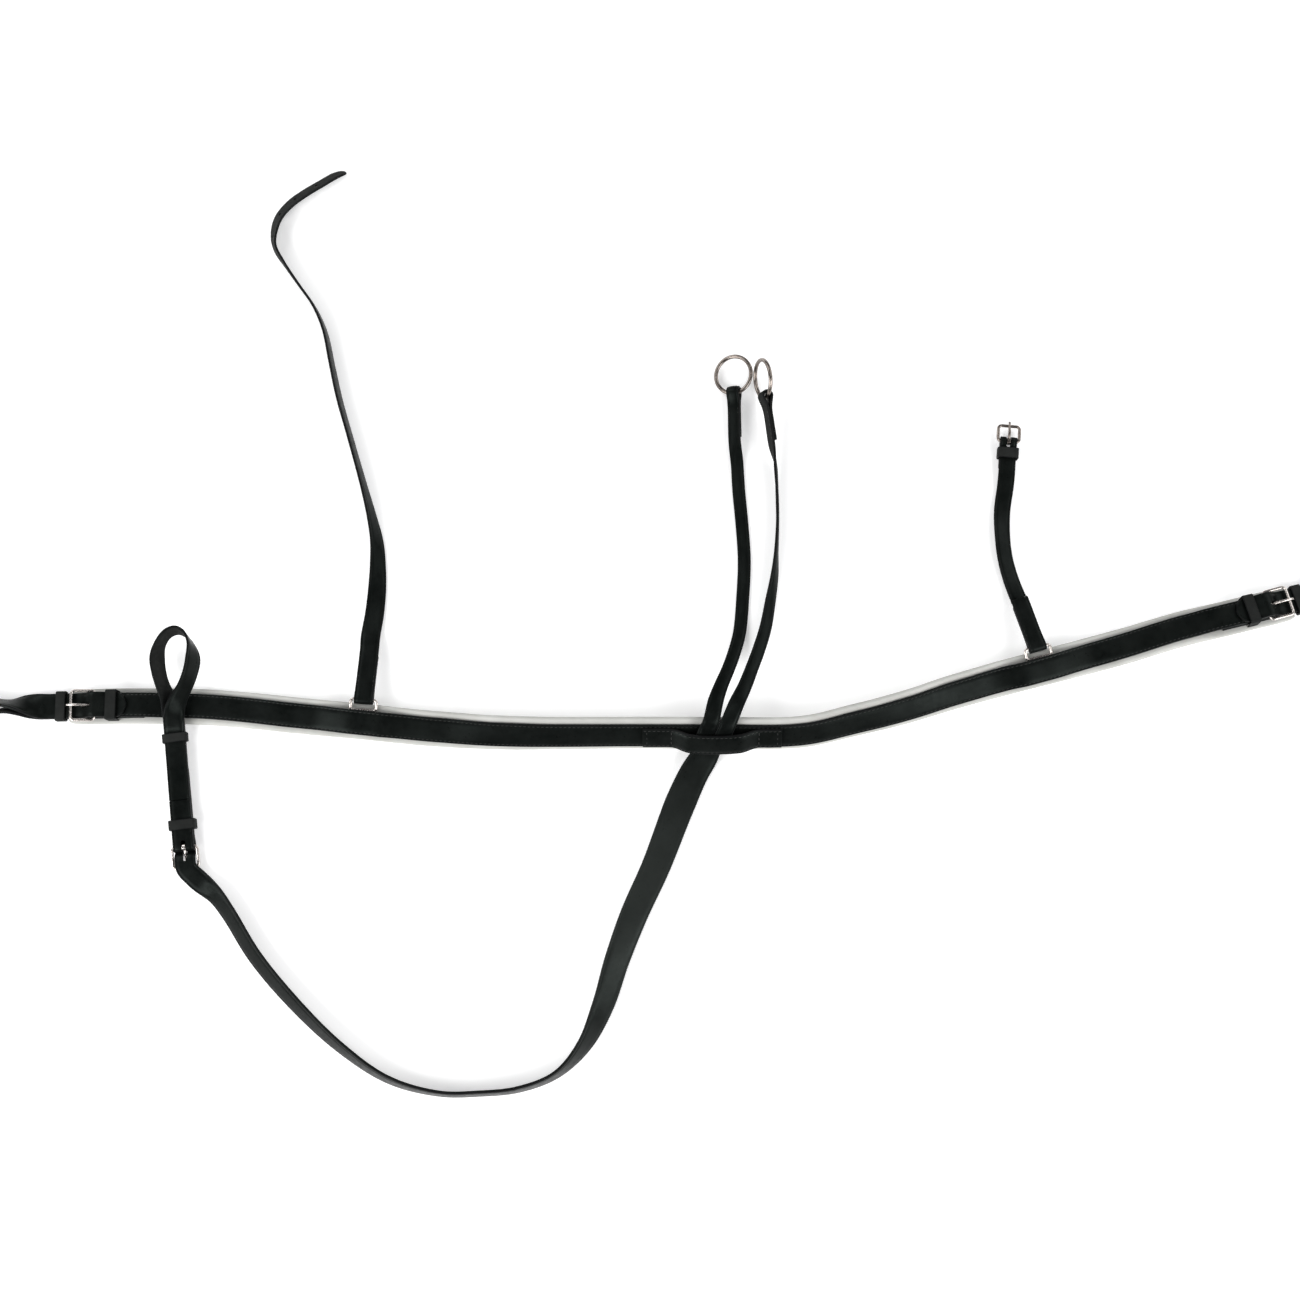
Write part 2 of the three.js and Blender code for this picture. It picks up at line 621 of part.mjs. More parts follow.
function witherRing({ at, bar }) {
  const { half, depth, height } = WITHER_RING;
  const loop = rectangleLoop(half, [bar, height], [bar + depth, height], 2.2);
  const turned = loop.map(({ x, y, z }) => vec(-y, x, z));
  return wireGeometry(turned, WIRE_RADIUS, Z, { looped: true }).applyMatrix4(collarFrame(at));
}

function neckHold({ at, bar }) {
  const { depth, height } = WITHER_RING;
  return vec(0, bar + depth, height).applyMatrix4(collarFrame(at));
}

const NECK_LONG = [
  [-344, 106, 0, 3.4, 19.5], [-341, 128, 8, 0.8, 19], [-339, 152, 16, 0, 18.4], [-338.5, 178, 32],
  [-340, 203, 50], [-346, 230, 66], [-355, 262, 76], [-370, 312, 80], [-382, 352, 80],
  [-391, 390, 82], [-399, 424, 84], [-410, 449, 86], [-428, 475, 88], [-443, 497, 92],
  [-453, 514, 102], [-455, 530, 120], [-451, 548, 133], [-440, 563, 138], [-425, 575, 138],
  [-407, 586.5, 137], [-395, 594, 136], [-388, 598, 136, 0, 12], [-384, 600, 136, 0, 6],
];
const NECK_SHORT = [
  [305, 143, 8, 1.8, 17.2], [298, 163, 12, 0.5, 17], [292.5, 186, 18, 0.2],
  [290.5, 210, 18, 0.3], [291.3, 235, 8, 0.5],
];

function neckStart(row, away, width) {
  const size = { width, thickness: NECK.thickness };
  const hold = neckHold(row);
  const along = X.clone().transformDirection(collarFrame(row.at)).negate();
  return placedKeys(foldKeys(WITHER_FOLD, 46, size, 52), basis(hold, away, along));
}

function neckStrapLong() {
  const size = { width: NECK.width, thickness: NECK.thickness };
  const start = neckStart(WITHER.left, vec(0.06, 1, -0.17), NECK.ringWidth);
  const ground = NECK_LONG.map((row) => groundKey(row, size));
  return strapGeometry(smooth([...start, ...ground], 15));
}

// The short neck strap ends in its own buckle, lying face up on the ground.
const NECK_HEEL = 7;
const neckFrame = new THREE.Matrix4()
  .makeRotationZ(radians(85))
  .setPosition(vec(299.5, 307, 0));
const NECK_TOP = NECK_HEEL - WITHER_FOLD + NECK.thickness + GAP;

function neckStrapShort() {
  const size = { width: NECK.width, thickness: NECK.thickness };
  const start = neckStart(WITHER.right, vec(-0.29, 1, -0.17), 17.8);
  const bottom = NECK_HEEL - WITHER_FOLD;
  const end = [[-46, NECK_TOP - 3.1], [-33, NECK_TOP], [-14, NECK_TOP], [-6, NECK_TOP + 1.3]];
  for (let angle = 90; angle >= -90; angle -= 30) {
    const lean = radians(angle);
    end.push([WITHER_FOLD * Math.cos(lean), NECK_HEEL + WITHER_FOLD * Math.sin(lean)]);
  }
  end.push([-6, bottom], [-16, bottom], [-28, bottom]);
  const keys = end.map(([x, z]) => ({ p: vec(x, 0, z), w: Y, ...size }));
  const ground = NECK_SHORT.map((row) => groundKey(row, size));
  const slot = slotTool(-6, 6, SLOT.chape, 2, 13, neckFrame);
  const stations = smooth([...start, ...ground, ...placedKeys(keys, neckFrame)], 14);
  return cut(strapGeometry(stations), slot);
}

// ---- the loop end that the girth passes through ----

function girthLoopStrap() {
  const size = { width: LOOP.width, thickness: LOOP.thickness };
  const half = (LOOP.thickness + GAP) / 2;
  const bottom = HEEL_HEIGHT - FOLD_RADIUS;
  const middle = HEEL_HEIGHT - FOLD_RADIUS + half;
  const chape = [[-45.9, bottom], [-30, bottom], [-15, bottom], [-6, bottom]];
  for (let angle = -90; angle <= 90; angle += 30) {
    const lean = radians(angle);
    chape.push([FOLD_RADIUS * Math.cos(lean), HEEL_HEIGHT + FOLD_RADIUS * Math.sin(lean)]);
  }
  const [over, under] = [middle + half, middle - half];
  chape.push([-5, 14.4], [-12, 12.2], [-20, over], [-60, over], [-108, over + 0.15]);
  const inLoopFrame = (rows) => placedKeys(
    rows.map(([x, z]) => ({ p: vec(x, 0, z), w: Y, ...size })), loopFrame);
  const fixed = inLoopFrame(chape);
  const back = inLoopFrame([[-108, under - 0.15], [-60, under], [-46.5, under]]);
  const level = LOOP_HEEL.z - middle;
  const rows = [
    [0, 0, 1.9, 0], [9, 12, 2.4, 12], [20, 34, 3.3, 45], [30, 50, 5.6, 75], [40, 60, 10, 90],
    [54, 62, 15, 90], [70, 62, 17.6, 90],
  ];
  const shape = {
    lead: [[0, 0], [100, 3]],
    closing: 28,
    lift: [[0, level - LOOP.thickness / 2], [9, 11.8], [20, 12.8], [30, 11.8], [110, 11]],
  };
  const { upper, tip, lower } = loopRuns(rows, shape, size);
  const start = vec(-116, 0, 0).applyMatrix4(loopFrame).setZ(0);
  const loopGround = new THREE.Matrix4().makeRotationZ(radians(88)).setPosition(start);
  // The run nearer the ground comes from the heel bar; the other goes back to be sewn.
  const keys = [
    ...fixed,
    ...placedKeys([...lower.reverse(), ...tip.reverse(), ...upper.reverse()], loopGround),
    ...back,
  ];
  const slot = slotTool(-6, 6, SLOT.chape, 7, 17, loopFrame);
  return cut(strapGeometry(smooth(keys, 10)), slot);
}

// ---- assembly ----

add('breast_padding', breastPadding(), PADDING);
add('breast_strap', breastStrap(), LEATHER);
add('centre_bridge', centreBridge(), LEATHER);
girthEnd('left', outwardFrame(0, -1));
girthEnd('right', outwardFrame(COLLAR_LENGTH, 1));

add('martingale_body_strap', bodyStrap(), LEATHER);
for (const side of ['left', 'right']) {
  add(`fork_leg_${side}`, forkLeg(side), LEATHER);
  add(`rein_ring_${side}`, reinRing(side), NICKEL);
  add(`wither_ring_${side}`, witherRing(WITHER[side]), NICKEL);
}
add('neck_strap_long', neckStrapLong(), LEATHER);
add('neck_strap_short', neckStrapShort(), LEATHER);
const neckEnd = groupAt(neckFrame);
add('neck_buckle_frame', buckleFrame(NECK_BUCKLE, NECK_HEEL), NICKEL, neckEnd);
add('neck_buckle_tongue', buckleTongue(NECK_BUCKLE, NECK_HEEL), NICKEL, neckEnd);
add('neck_keeper', keeperGeometry(-12.5, [-9.1, 9.1], [2, 10.6], 11), EDGE_LEATHER, neckEnd);

add('girth_loop_strap', girthLoopStrap(), LEATHER);
const loopEnd = groupAt(loopFrame);
add('loop_buckle_frame', buckleFrame(LOOP_BUCKLE, HEEL_HEIGHT), NICKEL, loopEnd);
add('loop_buckle_tongue', buckleTongue(LOOP_BUCKLE, HEEL_HEIGHT), NICKEL, loopEnd);
add('loop_fixed_keeper', keeperGeometry(-22, [-11.8, 11.2], [7.2, 17.4], 10), EDGE_LEATHER, loopEnd);
add('loop_running_keeper', keeperGeometry(-108, [-10.8, 10.8], [6.8, 13.7], 9), EDGE_LEATHER, loopEnd);

export default martingale;
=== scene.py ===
"""Looks of a running martingale breastplate, laid out on the floor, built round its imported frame.

Shapes are worked out in millimetres in the layout's own coordinates, as in the CAD source, and
are moved to the row frame, in metres, when a mesh is made.
"""

import math
from collections import namedtuple
from math import cos, pi, radians, sin, sqrt

import bpy
import numpy as np
from mathutils import Matrix, Vector


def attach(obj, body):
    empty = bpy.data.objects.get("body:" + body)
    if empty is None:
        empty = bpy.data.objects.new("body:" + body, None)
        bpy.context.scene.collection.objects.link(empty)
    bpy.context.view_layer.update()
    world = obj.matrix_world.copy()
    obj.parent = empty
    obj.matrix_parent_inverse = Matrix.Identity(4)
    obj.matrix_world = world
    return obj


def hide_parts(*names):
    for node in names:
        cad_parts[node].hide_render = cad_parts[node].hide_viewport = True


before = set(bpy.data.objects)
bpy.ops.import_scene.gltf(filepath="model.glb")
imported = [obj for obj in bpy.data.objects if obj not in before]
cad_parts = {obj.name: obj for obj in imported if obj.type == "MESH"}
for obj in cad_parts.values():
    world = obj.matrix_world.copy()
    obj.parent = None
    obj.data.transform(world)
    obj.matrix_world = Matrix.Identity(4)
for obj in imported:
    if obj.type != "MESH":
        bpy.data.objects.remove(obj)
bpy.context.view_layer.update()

MM = 0.001
ROW_SHIFT = Vector((34.5, -129.9, 0))  # from the layout's own origin to the row's origin

# ---- driving dimensions, in millimetres ----

GAP = 0.3
GROUND_GAP = 0.2
PAD = dict(width=36, thick=6.5, end_thick=4, overhang=27)
BREAST = dict(width=24.5, thick=3, end_thick=2.5)
BRIDGE = dict(at=611, width=21, thick=3)
BODY = dict(top_width=28, end_width=20.5, thick=3)
LEG = dict(width=13.2, fork_width=16.4, thick=2.5)
GIRTH = dict(width=25, thick=3)
LOOP = dict(width=20.5, thick=2.5)
NECK = dict(ring_width=19, width=17, thick=2.5)
KEEPER_THICK = 1.6
WIRE_RADIUS = 1.6
REIN_RING = dict(radius=19, wire=2.1)
BIG_BUCKLE = dict(reach=22.5, half=14.6, rise=2.5)
LOOP_BUCKLE = dict(reach=20, half=12.4, rise=2.5)
NECK_BUCKLE = dict(reach=16.5, half=10.7, rise=-1)
HEEL_HEIGHT = 12
WITHER = dict(left=266, right=946)
WITHER_RING = dict(bar=12, half=12.7, depth=10.5, height=9.3)

COLLAR_ROUTE = [
    (-614, 35.5), (-582, 36), (-513, 35), (-463, 31.5), (-413, 26.5), (-348, 20.5), (-283, 14),
    (-214, 10), (-154, 9.5), (-95, 10), (0, 10), (84, 11), (134, 22), (184, 34.5), (234, 50),
    (284, 64), (344, 79.5), (405, 95.5), (466, 113), (517, 125.5), (550, 133.5),
]
COLLAR_ROLL = [
    (0, 0), (110, 0), (200, 10), (270, 14), (340, 20), (400, 30), (460, 37), (520, 40), (720, 40),
    (760, 38), (810, 33), (860, 26), (920, 18), (1110, -7), (1300, -7),
]

X = Vector((1, 0, 0))
Y = Vector((0, 1, 0))
Z = Vector((0, 0, 1))
Key = namedtuple("Key", "p w width thick")
Station = namedtuple("Station", "p across face width thick")


# ---- curves and stations ----

def profile(table, place):
    """Value of a table of (place, value) rows, eased between the rows."""
    if place <= table[0][0]:
        return table[0][1]
    for (start, before), (end, after) in zip(table, table[1:]):
        if place <= end:
            part = (place - start) / (end - start)
            return before + (after - before) * part * part * (3 - 2 * part)
    return table[-1][1]


def curve_through(points, centripetal=True):
    """A Catmull-Rom curve: a function of the span's number and the part of the span."""
    row = [2 * points[0] - points[1], *points, 2 * points[-1] - points[-2]]

    def at(span, part):
        a, b, c, d = row[span:span + 4]
        if centripetal:
            t0, t1, t2 = (sqrt((q - p).length) for p, q in ((a, b), (b, c), (c, d)))
            leaving = t1 * ((b - a) / t0 - (c - a) / (t0 + t1) + (c - b) / t1)
            arriving = t1 * ((c - b) / t1 - (d - b) / (t1 + t2) + (d - c) / t2)
        else:
            leaving = (c - a) / 2
            arriving = (d - b) / 2
        square = 3 * (c - b) - 2 * leaving - arriving
        cube = 2 * (b - c) + leaving + arriving
        return b + part * (leaving + part * (square + part * cube))

    return at


def aimed(rows, size):
    """Keys on open ground, each resting on its lower edge, from x, y, roll, lift and width."""
    points = [Vector((row[0], row[1], 0)) for row in rows]
    keys = []
    for k, row in enumerate(rows):
        roll, lift, width = (*row[2:], *(0, 0, size["width"])[len(row) - 2:])
        lean = radians(roll)
        rest = (width * abs(sin(lean)) + size["thick"] * abs(cos(lean))) / 2
        along = (points[min(k + 1, len(rows) - 1)] - points[max(k - 1, 0)]).normalized()
        side = Vector((-along.y, along.x, 0))
        w = side * cos(lean) + Z * sin(lean)
        keys.append(Key(points[k] + Z * (rest + lift + GROUND_GAP), w, width, size["thick"]))
    return keys


def stations_through(keys, step=4.0, turn=9.0, looped=False):
    """Fine stations along the keys, closer together where the path turns sharply."""
    widths = [keys[0].w]
    for key in keys[1:]:
        widths.append(key.w if key.w.dot(widths[-1]) >= 0 else -key.w)
    path = curve_through([key.p for key in keys])
    spread = curve_through(widths, centripetal=False)
    points = []
    for k, (a, b) in enumerate(zip(keys, keys[1:])):
        leaving = (path(k, 0.02) - path(k, 0)).normalized()
        arriving = (path(k, 1) - path(k, 0.98)).normalized()
        bend = math.degrees(math.acos(max(-1, min(1, leaving.dot(arriving)))))
        count = max(1, math.ceil((b.p - a.p).length / step), math.ceil(bend / turn))
        for i in range(count):
            part = i / count
            points.append((path(k, part), spread(k, part).normalized(),
                           a.width + (b.width - a.width) * part,
                           a.thick + (b.thick - a.thick) * part))
    points.append(keys[-1]._replace(w=widths[-1]))
    return framed(points, looped)


def framed(points, looped=False):
    """Stations with a tangent-square width direction, from rows of point, w, width and thick."""
    if looped:
        points = points[:-1]
    last = len(points) - 1
    stations = []
    for k, (p, w, width, thick) in enumerate(points):
        before = points[k - 1][0] if looped or k else points[0][0]
        after = points[(k + 1) % (last + 1)][0] if looped else points[min(k + 1, last)][0]
        along = (after - before).normalized()
        across = (w - along * along.dot(w)).normalized()
        stations.append(Station(p, across, along.cross(across), width, thick))
    return stations


def placed(keys, matrix):
    turned = matrix.to_3x3()
    return [key._replace(p=matrix @ key.p, w=(turned @ key.w).normalized()) for key in keys]


def level_keys(rows, size):
    """Keys in the x, z plane, or at x, y, z, with the width direction along Y."""
    rows = [(row[0], 0, row[1]) if len(row) == 2 else row for row in rows]
    return [Key(Vector(row), Y, size["width"], size["thick"]) for row in rows]


def basis(hold, away, along):
    x = away.normalized()
    y = (along - x * x.dot(along)).normalized()
    return axes_matrix(x, y, x.cross(y), hold)


def axes_matrix(x, y, z, origin):
    matrix = Matrix((x, y, z)).transposed().to_4x4()
    matrix.translation = origin
    return matrix


def arc(radius, start, end, step=15, centre=0):
    """Points x, z on an arc about (0, centre), by the angle from the x axis."""
    count = round(abs(end - start) / step)
    angles = [radians(start + (end - start) * i / count) for i in range(count + 1)]
    return [(radius * cos(a), centre + radius * sin(a)) for a in angles]


def turns(count):
    """Angles evenly spaced round a whole turn."""
    return [2 * pi * i / count for i in range(count)]


# ---- the collar's own coordinates ----

def collar_samples():
    points = [Vector((x, y, 0)) for x, y in COLLAR_ROUTE]
    path = curve_through(points)
    per_span = 100
    line = [path(k, i / per_span) for k in range(len(points) - 1) for i in range(per_span)]
    line = np.array([*line, points[-1]])
    steps = np.linalg.norm(np.diff(line, axis=0), axis=1)
    tangent = np.gradient(line, axis=0)
    tangent /= np.linalg.norm(tangent, axis=1)[:, None]
    return np.concatenate([[0], np.cumsum(steps)]), line, tangent


SAMPLE_AT, SAMPLE_POINT, SAMPLE_TANGENT = collar_samples()
COLLAR_LENGTH = float(SAMPLE_AT[-1])


def collar_frame(distance):
    """x along the collar, y across it and z out of its face, from the padding's underside."""
    inside = min(max(distance, 0), COLLAR_LENGTH)
    at = [np.interp(inside, SAMPLE_AT, SAMPLE_POINT[:, i]) for i in range(2)]
    along = Vector([np.interp(inside, SAMPLE_AT, SAMPLE_TANGENT[:, i]) for i in range(3)])
    along.normalize()
    lean = radians(profile(COLLAR_ROLL, inside))
    side = Vector((-along.y, along.x, 0))
    across = side * cos(lean) + Z * sin(lean)
    up = Z * cos(lean) - side * sin(lean)
    origin = Vector((*at, 0)) + along * (distance - inside)
    origin.z = PAD["width"] / 2 * abs(sin(lean))
    return axes_matrix(along, across, up, origin)


def collar_key(distance, offset, height, width, thick):
    matrix = collar_frame(distance)
    return Key(matrix @ Vector((0, offset, height)), matrix.to_3x3() @ Y, width, thick)


def from_end(distance):
    return min(distance, COLLAR_LENGTH - distance)


def outward_frame(side):
    if side == "right":
        return collar_frame(COLLAR_LENGTH)
    return collar_frame(0) @ Matrix.Rotation(pi, 4, "Z")


# ---- meshes ----

GRAIN, FLESH, EDGE = 0, 1, 2
SHARP_ANGLE = 38


# from a strap's edge to the creased line along it, and to its stitching
CREASE = 2.2
SEAM_INSET = 2.2
LEG_SEAM = 1.9
NECK_SEAM = 2


def strap_section(width, thick, dome=0.0, groove=CREASE, depth=0.22):
    """Outline of a cut strap: rounded edges, a creased line near each edge and a crowned face.

    Returns the points across and out of the face, and the kind of surface after each point.
    """
    half = width / 2
    radius = min(0.9, thick * 0.45, half * 0.4)
    inner = half - radius
    groove = min(groove, half * 0.5)
    line = half - groove
    spread = min(0.7, (groove - radius) * 0.8, line * 0.8)
    row = [inner, line + spread, line + spread / 2, line, line - spread / 2, line - spread]
    row += [(line - spread) * part for part in (0.66, 0.33)]
    row = row + [0] + [-v for v in reversed(row)]
    dips = {1: 0.0, 2: 0.6, 3: 1.0, 4: 0.6}

    def top(i, v):
        dip = dips.get(min(i, len(row) - 1 - i), 0.0)
        return thick / 2 + dome * (1 - (v / half) ** 2) - depth * dip

    points = [(v, top(i, v)) for i, v in enumerate(row)]
    kinds = [GRAIN] * (len(points) - 1) + [EDGE]
    corner = thick / 2 - radius
    for sign, start in ((-1, 90), (1, 270)):
        bends = [start + 30 * i for i in range(1, 7)]
        for angle in bends:
            lean = radians(angle)
            level = -corner if sin(lean) < -1e-6 or (angle == 180) else corner
            points.append((sign * inner + radius * cos(lean), level + radius * sin(lean)))
            kinds.append(EDGE)
        if sign < 0:
            kinds[-1] = FLESH
            points += [(-0.4 * inner, -thick / 2), (0.4 * inner, -thick / 2), (inner, -thick / 2)]
            kinds += [FLESH, FLESH, EDGE]
    points.pop()
    kinds.pop()
    return points, kinds


def add_object(name, data):
    item = bpy.data.objects.new(name, data)
    bpy.context.scene.collection.objects.link(item)
    return item


def add_mesh(name, points, faces, kinds, materials, sharp=SHARP_ANGLE):
    """A mesh object in the row frame, in metres, from layout points in millimetres."""
    mesh = bpy.data.meshes.new(name)
    coordinates = (np.array(points, dtype=float) + np.array(ROW_SHIFT)) * MM
    mesh.from_pydata(coordinates.tolist(), [], faces)
    mesh.polygons.foreach_set("use_smooth", [True] * len(faces))
    for material in materials:
        mesh.materials.append(material)
    if kinds is not None:
        mesh.polygons.foreach_set("material_index", kinds)
    mesh.set_sharp_from_angle(angle=radians(sharp))
    mesh.update()
    return add_object(name, mesh)


def ring_faces(first, second, sides):
    """Faces between two rings of points, given by the numbers of their first points."""
    pairs = [(i, (i + 1) % sides) for i in range(sides)]
    return [(first + i, first + j, second + j, second + i) for i, j in pairs]


def cap_faces(first, last, sides):
    """Faces that close the first and last of a row of rings."""
    return [tuple(reversed(range(first, first + sides))), tuple(range(last, last + sides))]


def sweep(stations, section, looped=False):
    """Points, faces and kinds of a body swept through the stations."""
    rings = [section(station) for station in stations]
    sides = len(rings[0][0])
    points = []
    for station, (outline, _) in zip(stations, rings):
        points += [station.p + station.across * v + station.face * h for v, h in outline]
    faces, kinds = [], []
    spans = len(stations) if looped else len(stations) - 1
    for k in range(spans):
        faces += ring_faces(k * sides, (k + 1) % len(stations) * sides, sides)
        kinds += rings[k][1]
    if not looped:
        faces += cap_faces(0, spans * sides, sides)
        kinds += [EDGE, EDGE]
    return points, faces, kinds


def rounded_ends(stations, tips, bevel=0.5):
    """Narrows the strap towards each end that has a point, and bevels the cut ends a little."""
    lengths = [0.0]
    for a, b in zip(stations, stations[1:]):
        lengths.append(lengths[-1] + (b.p - a.p).length)
    shaped = []
    for place, station in zip(lengths, stations):
        share = 1.0
        for reach, away in zip(tips, (place, lengths[-1] - place)):
            if reach and away < reach:
                share = min(share, 0.2 + 0.8 * sqrt(1 - (1 - away / reach) ** 2))
        shaped.append(station._replace(width=station.width * share))
    first, last = shaped[0], shaped[-1]

    def slim(station):
        return station._replace(width=station.width - bevel, thick=station.thick - bevel)

    inward = (shaped[1].p - first.p).normalized()
    outward = (last.p - shaped[-2].p).normalized()
    start = first._replace(p=first.p + inward * bevel / 2)
    end = last._replace(p=last.p - outward * bevel / 2)
    return [slim(first), start, *shaped[1:-1], end, slim(last)]


def strap(name, node, body, stations, holes=(), grain=1, dome=0.0, groove=CREASE, tips=(0, 0)):
    """A leather strap standing for a CAD node, with the holes' cutters taken out of it.

    Its grain side is on the stations' face (1) or its back (-1).
    """
    def section(station):
        points, kinds = strap_section(station.width, station.thick, dome, groove)
        if grain < 0:
            points = [(v, -h) for v, h in reversed(points)]
            kinds = [*reversed(kinds[:-1]), kinds[-1]]
        return points, kinds

    points, faces, kinds = sweep(rounded_ends(stations, tips), section)
    item = add_mesh(f"{name}_leather", points, faces, kinds, LEATHER_SET)
    if holes:
        carve(item, holes)
    mount_piece(item, node, body)


def wire(points, radius, normal, looped=False, sides=16):
    """A round wire; radius is one number or one for each point."""
    radii = radius if isinstance(radius, list) else [radius] * len(points)
    rows = [(p, normal, r, r) for p, r in zip(points, radii)]
    stations = framed([*rows, rows[0]] if looped else rows, looped)

    def section(station):
        return [(station.width * cos(a), station.width * sin(a)) for a in turns(sides)], [0] * sides

    points, faces, _ = sweep(stations, section, looped)
    return points, faces


def carve(item, cutters):
    """Cuts the cutters out of an object and removes them."""
    for cutter in cutters:
        cut = item.modifiers.new("slot", "BOOLEAN")
        cut.operation = "DIFFERENCE"
        cut.solver = "EXACT"
        cut.object = cutter
    graph = bpy.context.evaluated_depsgraph_get()
    mesh = bpy.data.meshes.new_from_object(item.evaluated_get(graph))
    item.modifiers.clear()
    item.data = mesh
    mesh.set_sharp_from_angle(angle=radians(SHARP_ANGLE))
    for cutter in cutters:
        bpy.data.objects.remove(cutter)


def slot_cutter(start, end, width, bottom, top, matrix):
    """A slot with round ends along x from start to end; round when as long as it is wide."""
    radius = width / 2
    outline = []
    for centre, first in ((end - radius, -90), (start + radius, 90)):
        for i in range(9):
            a = radians(first + 180 * i / 8)
            outline.append((centre + radius * cos(a), radius * sin(a)))
    count = len(outline)
    points = [matrix @ Vector((x, y, z)) for z in (bottom, top) for x, y in outline]
    faces = cap_faces(0, count, count) + ring_faces(0, count, count)
    return add_mesh("cutter", points, faces, [EDGE] * len(faces), LEATHER_SET)


# ---- stitching ----

STITCH = dict(pitch=4.4, length=3.5, radius=0.36, lean=7)
STITCH_SHAPE = [(-0.5, 0.25), (-0.38, 0.85), (0, 1), (0.38, 0.85), (0.5, 0.25)]
STITCH_SIDES = 6


def stitch(points, faces, centre, along, normal):
    """One stitch of thread, bowed so that its ends go into the leather."""
    lean = radians(STITCH["lean"])
    side = normal.cross(along)
    direction = along * cos(lean) + side * sin(lean)
    side = normal.cross(direction)
    first = len(points)
    for place, swell in STITCH_SHAPE:
        bow = -STITCH["radius"] * 2.2 * (2 * place) ** 2 * 0.5
        middle = centre + direction * place * STITCH["length"] + normal * bow
        reach = STITCH["radius"] * swell
        points += [middle + side * reach * cos(a) + normal * reach * sin(a)
                   for a in turns(STITCH_SIDES)]
    starts = [first + k * STITCH_SIDES for k in range(len(STITCH_SHAPE))]
    for here, ahead in zip(starts, starts[1:]):
        faces += ring_faces(here, ahead, STITCH_SIDES)
    faces += cap_faces(first, starts[-1], STITCH_SIDES)


def stitch_line(points, faces, line):
    """Stitches along a line of (point, normal) rows."""
    places = [row[0] for row in line]
    lengths = np.concatenate([[0], np.cumsum([(b - a).length for a, b in zip(places, places[1:])])])
    count = int(lengths[-1] / STITCH["pitch"])
    spots = (np.arange(count) + 0.5) * lengths[-1] / max(count, 1)
    for spot in spots:
        k = min(int(np.searchsorted(lengths, spot)), len(line) - 1)
        k = max(k, 1)
        part = (spot - lengths[k - 1]) / (lengths[k] - lengths[k - 1])
        centre = places[k - 1].lerp(places[k], float(part))
        normal = line[k - 1][1].lerp(line[k][1], float(part)).normalized()
        along = (places[k] - places[k - 1]).normalized()
        along = (along - normal * along.dot(normal)).normalized()
        stitch(points, faces, centre, along, normal)


def stitching(name, lines, body):
    """A piece holding every stitch along the lines."""
    points, faces = [], []
    for line in lines:
        stitch_line(points, faces, line)
    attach(add_mesh(name, points, faces, None, [THREAD], sharp=80), body)


def edge_lines(stations, inset=SEAM_INSET, side=1, sink=0.12):
    """The two lines along a strap where it is sewn, on its face or its back."""
    return [[
        (s.p + s.across * edge * (s.width / 2 - inset) + s.face * side * (s.thick / 2 - sink),
         s.face * side) for s in stations] for edge in (-1, 1)]


# ---- materials ----

def set_inputs(node, values):
    for socket, value in values.items():
        node.inputs[socket].default_value = value


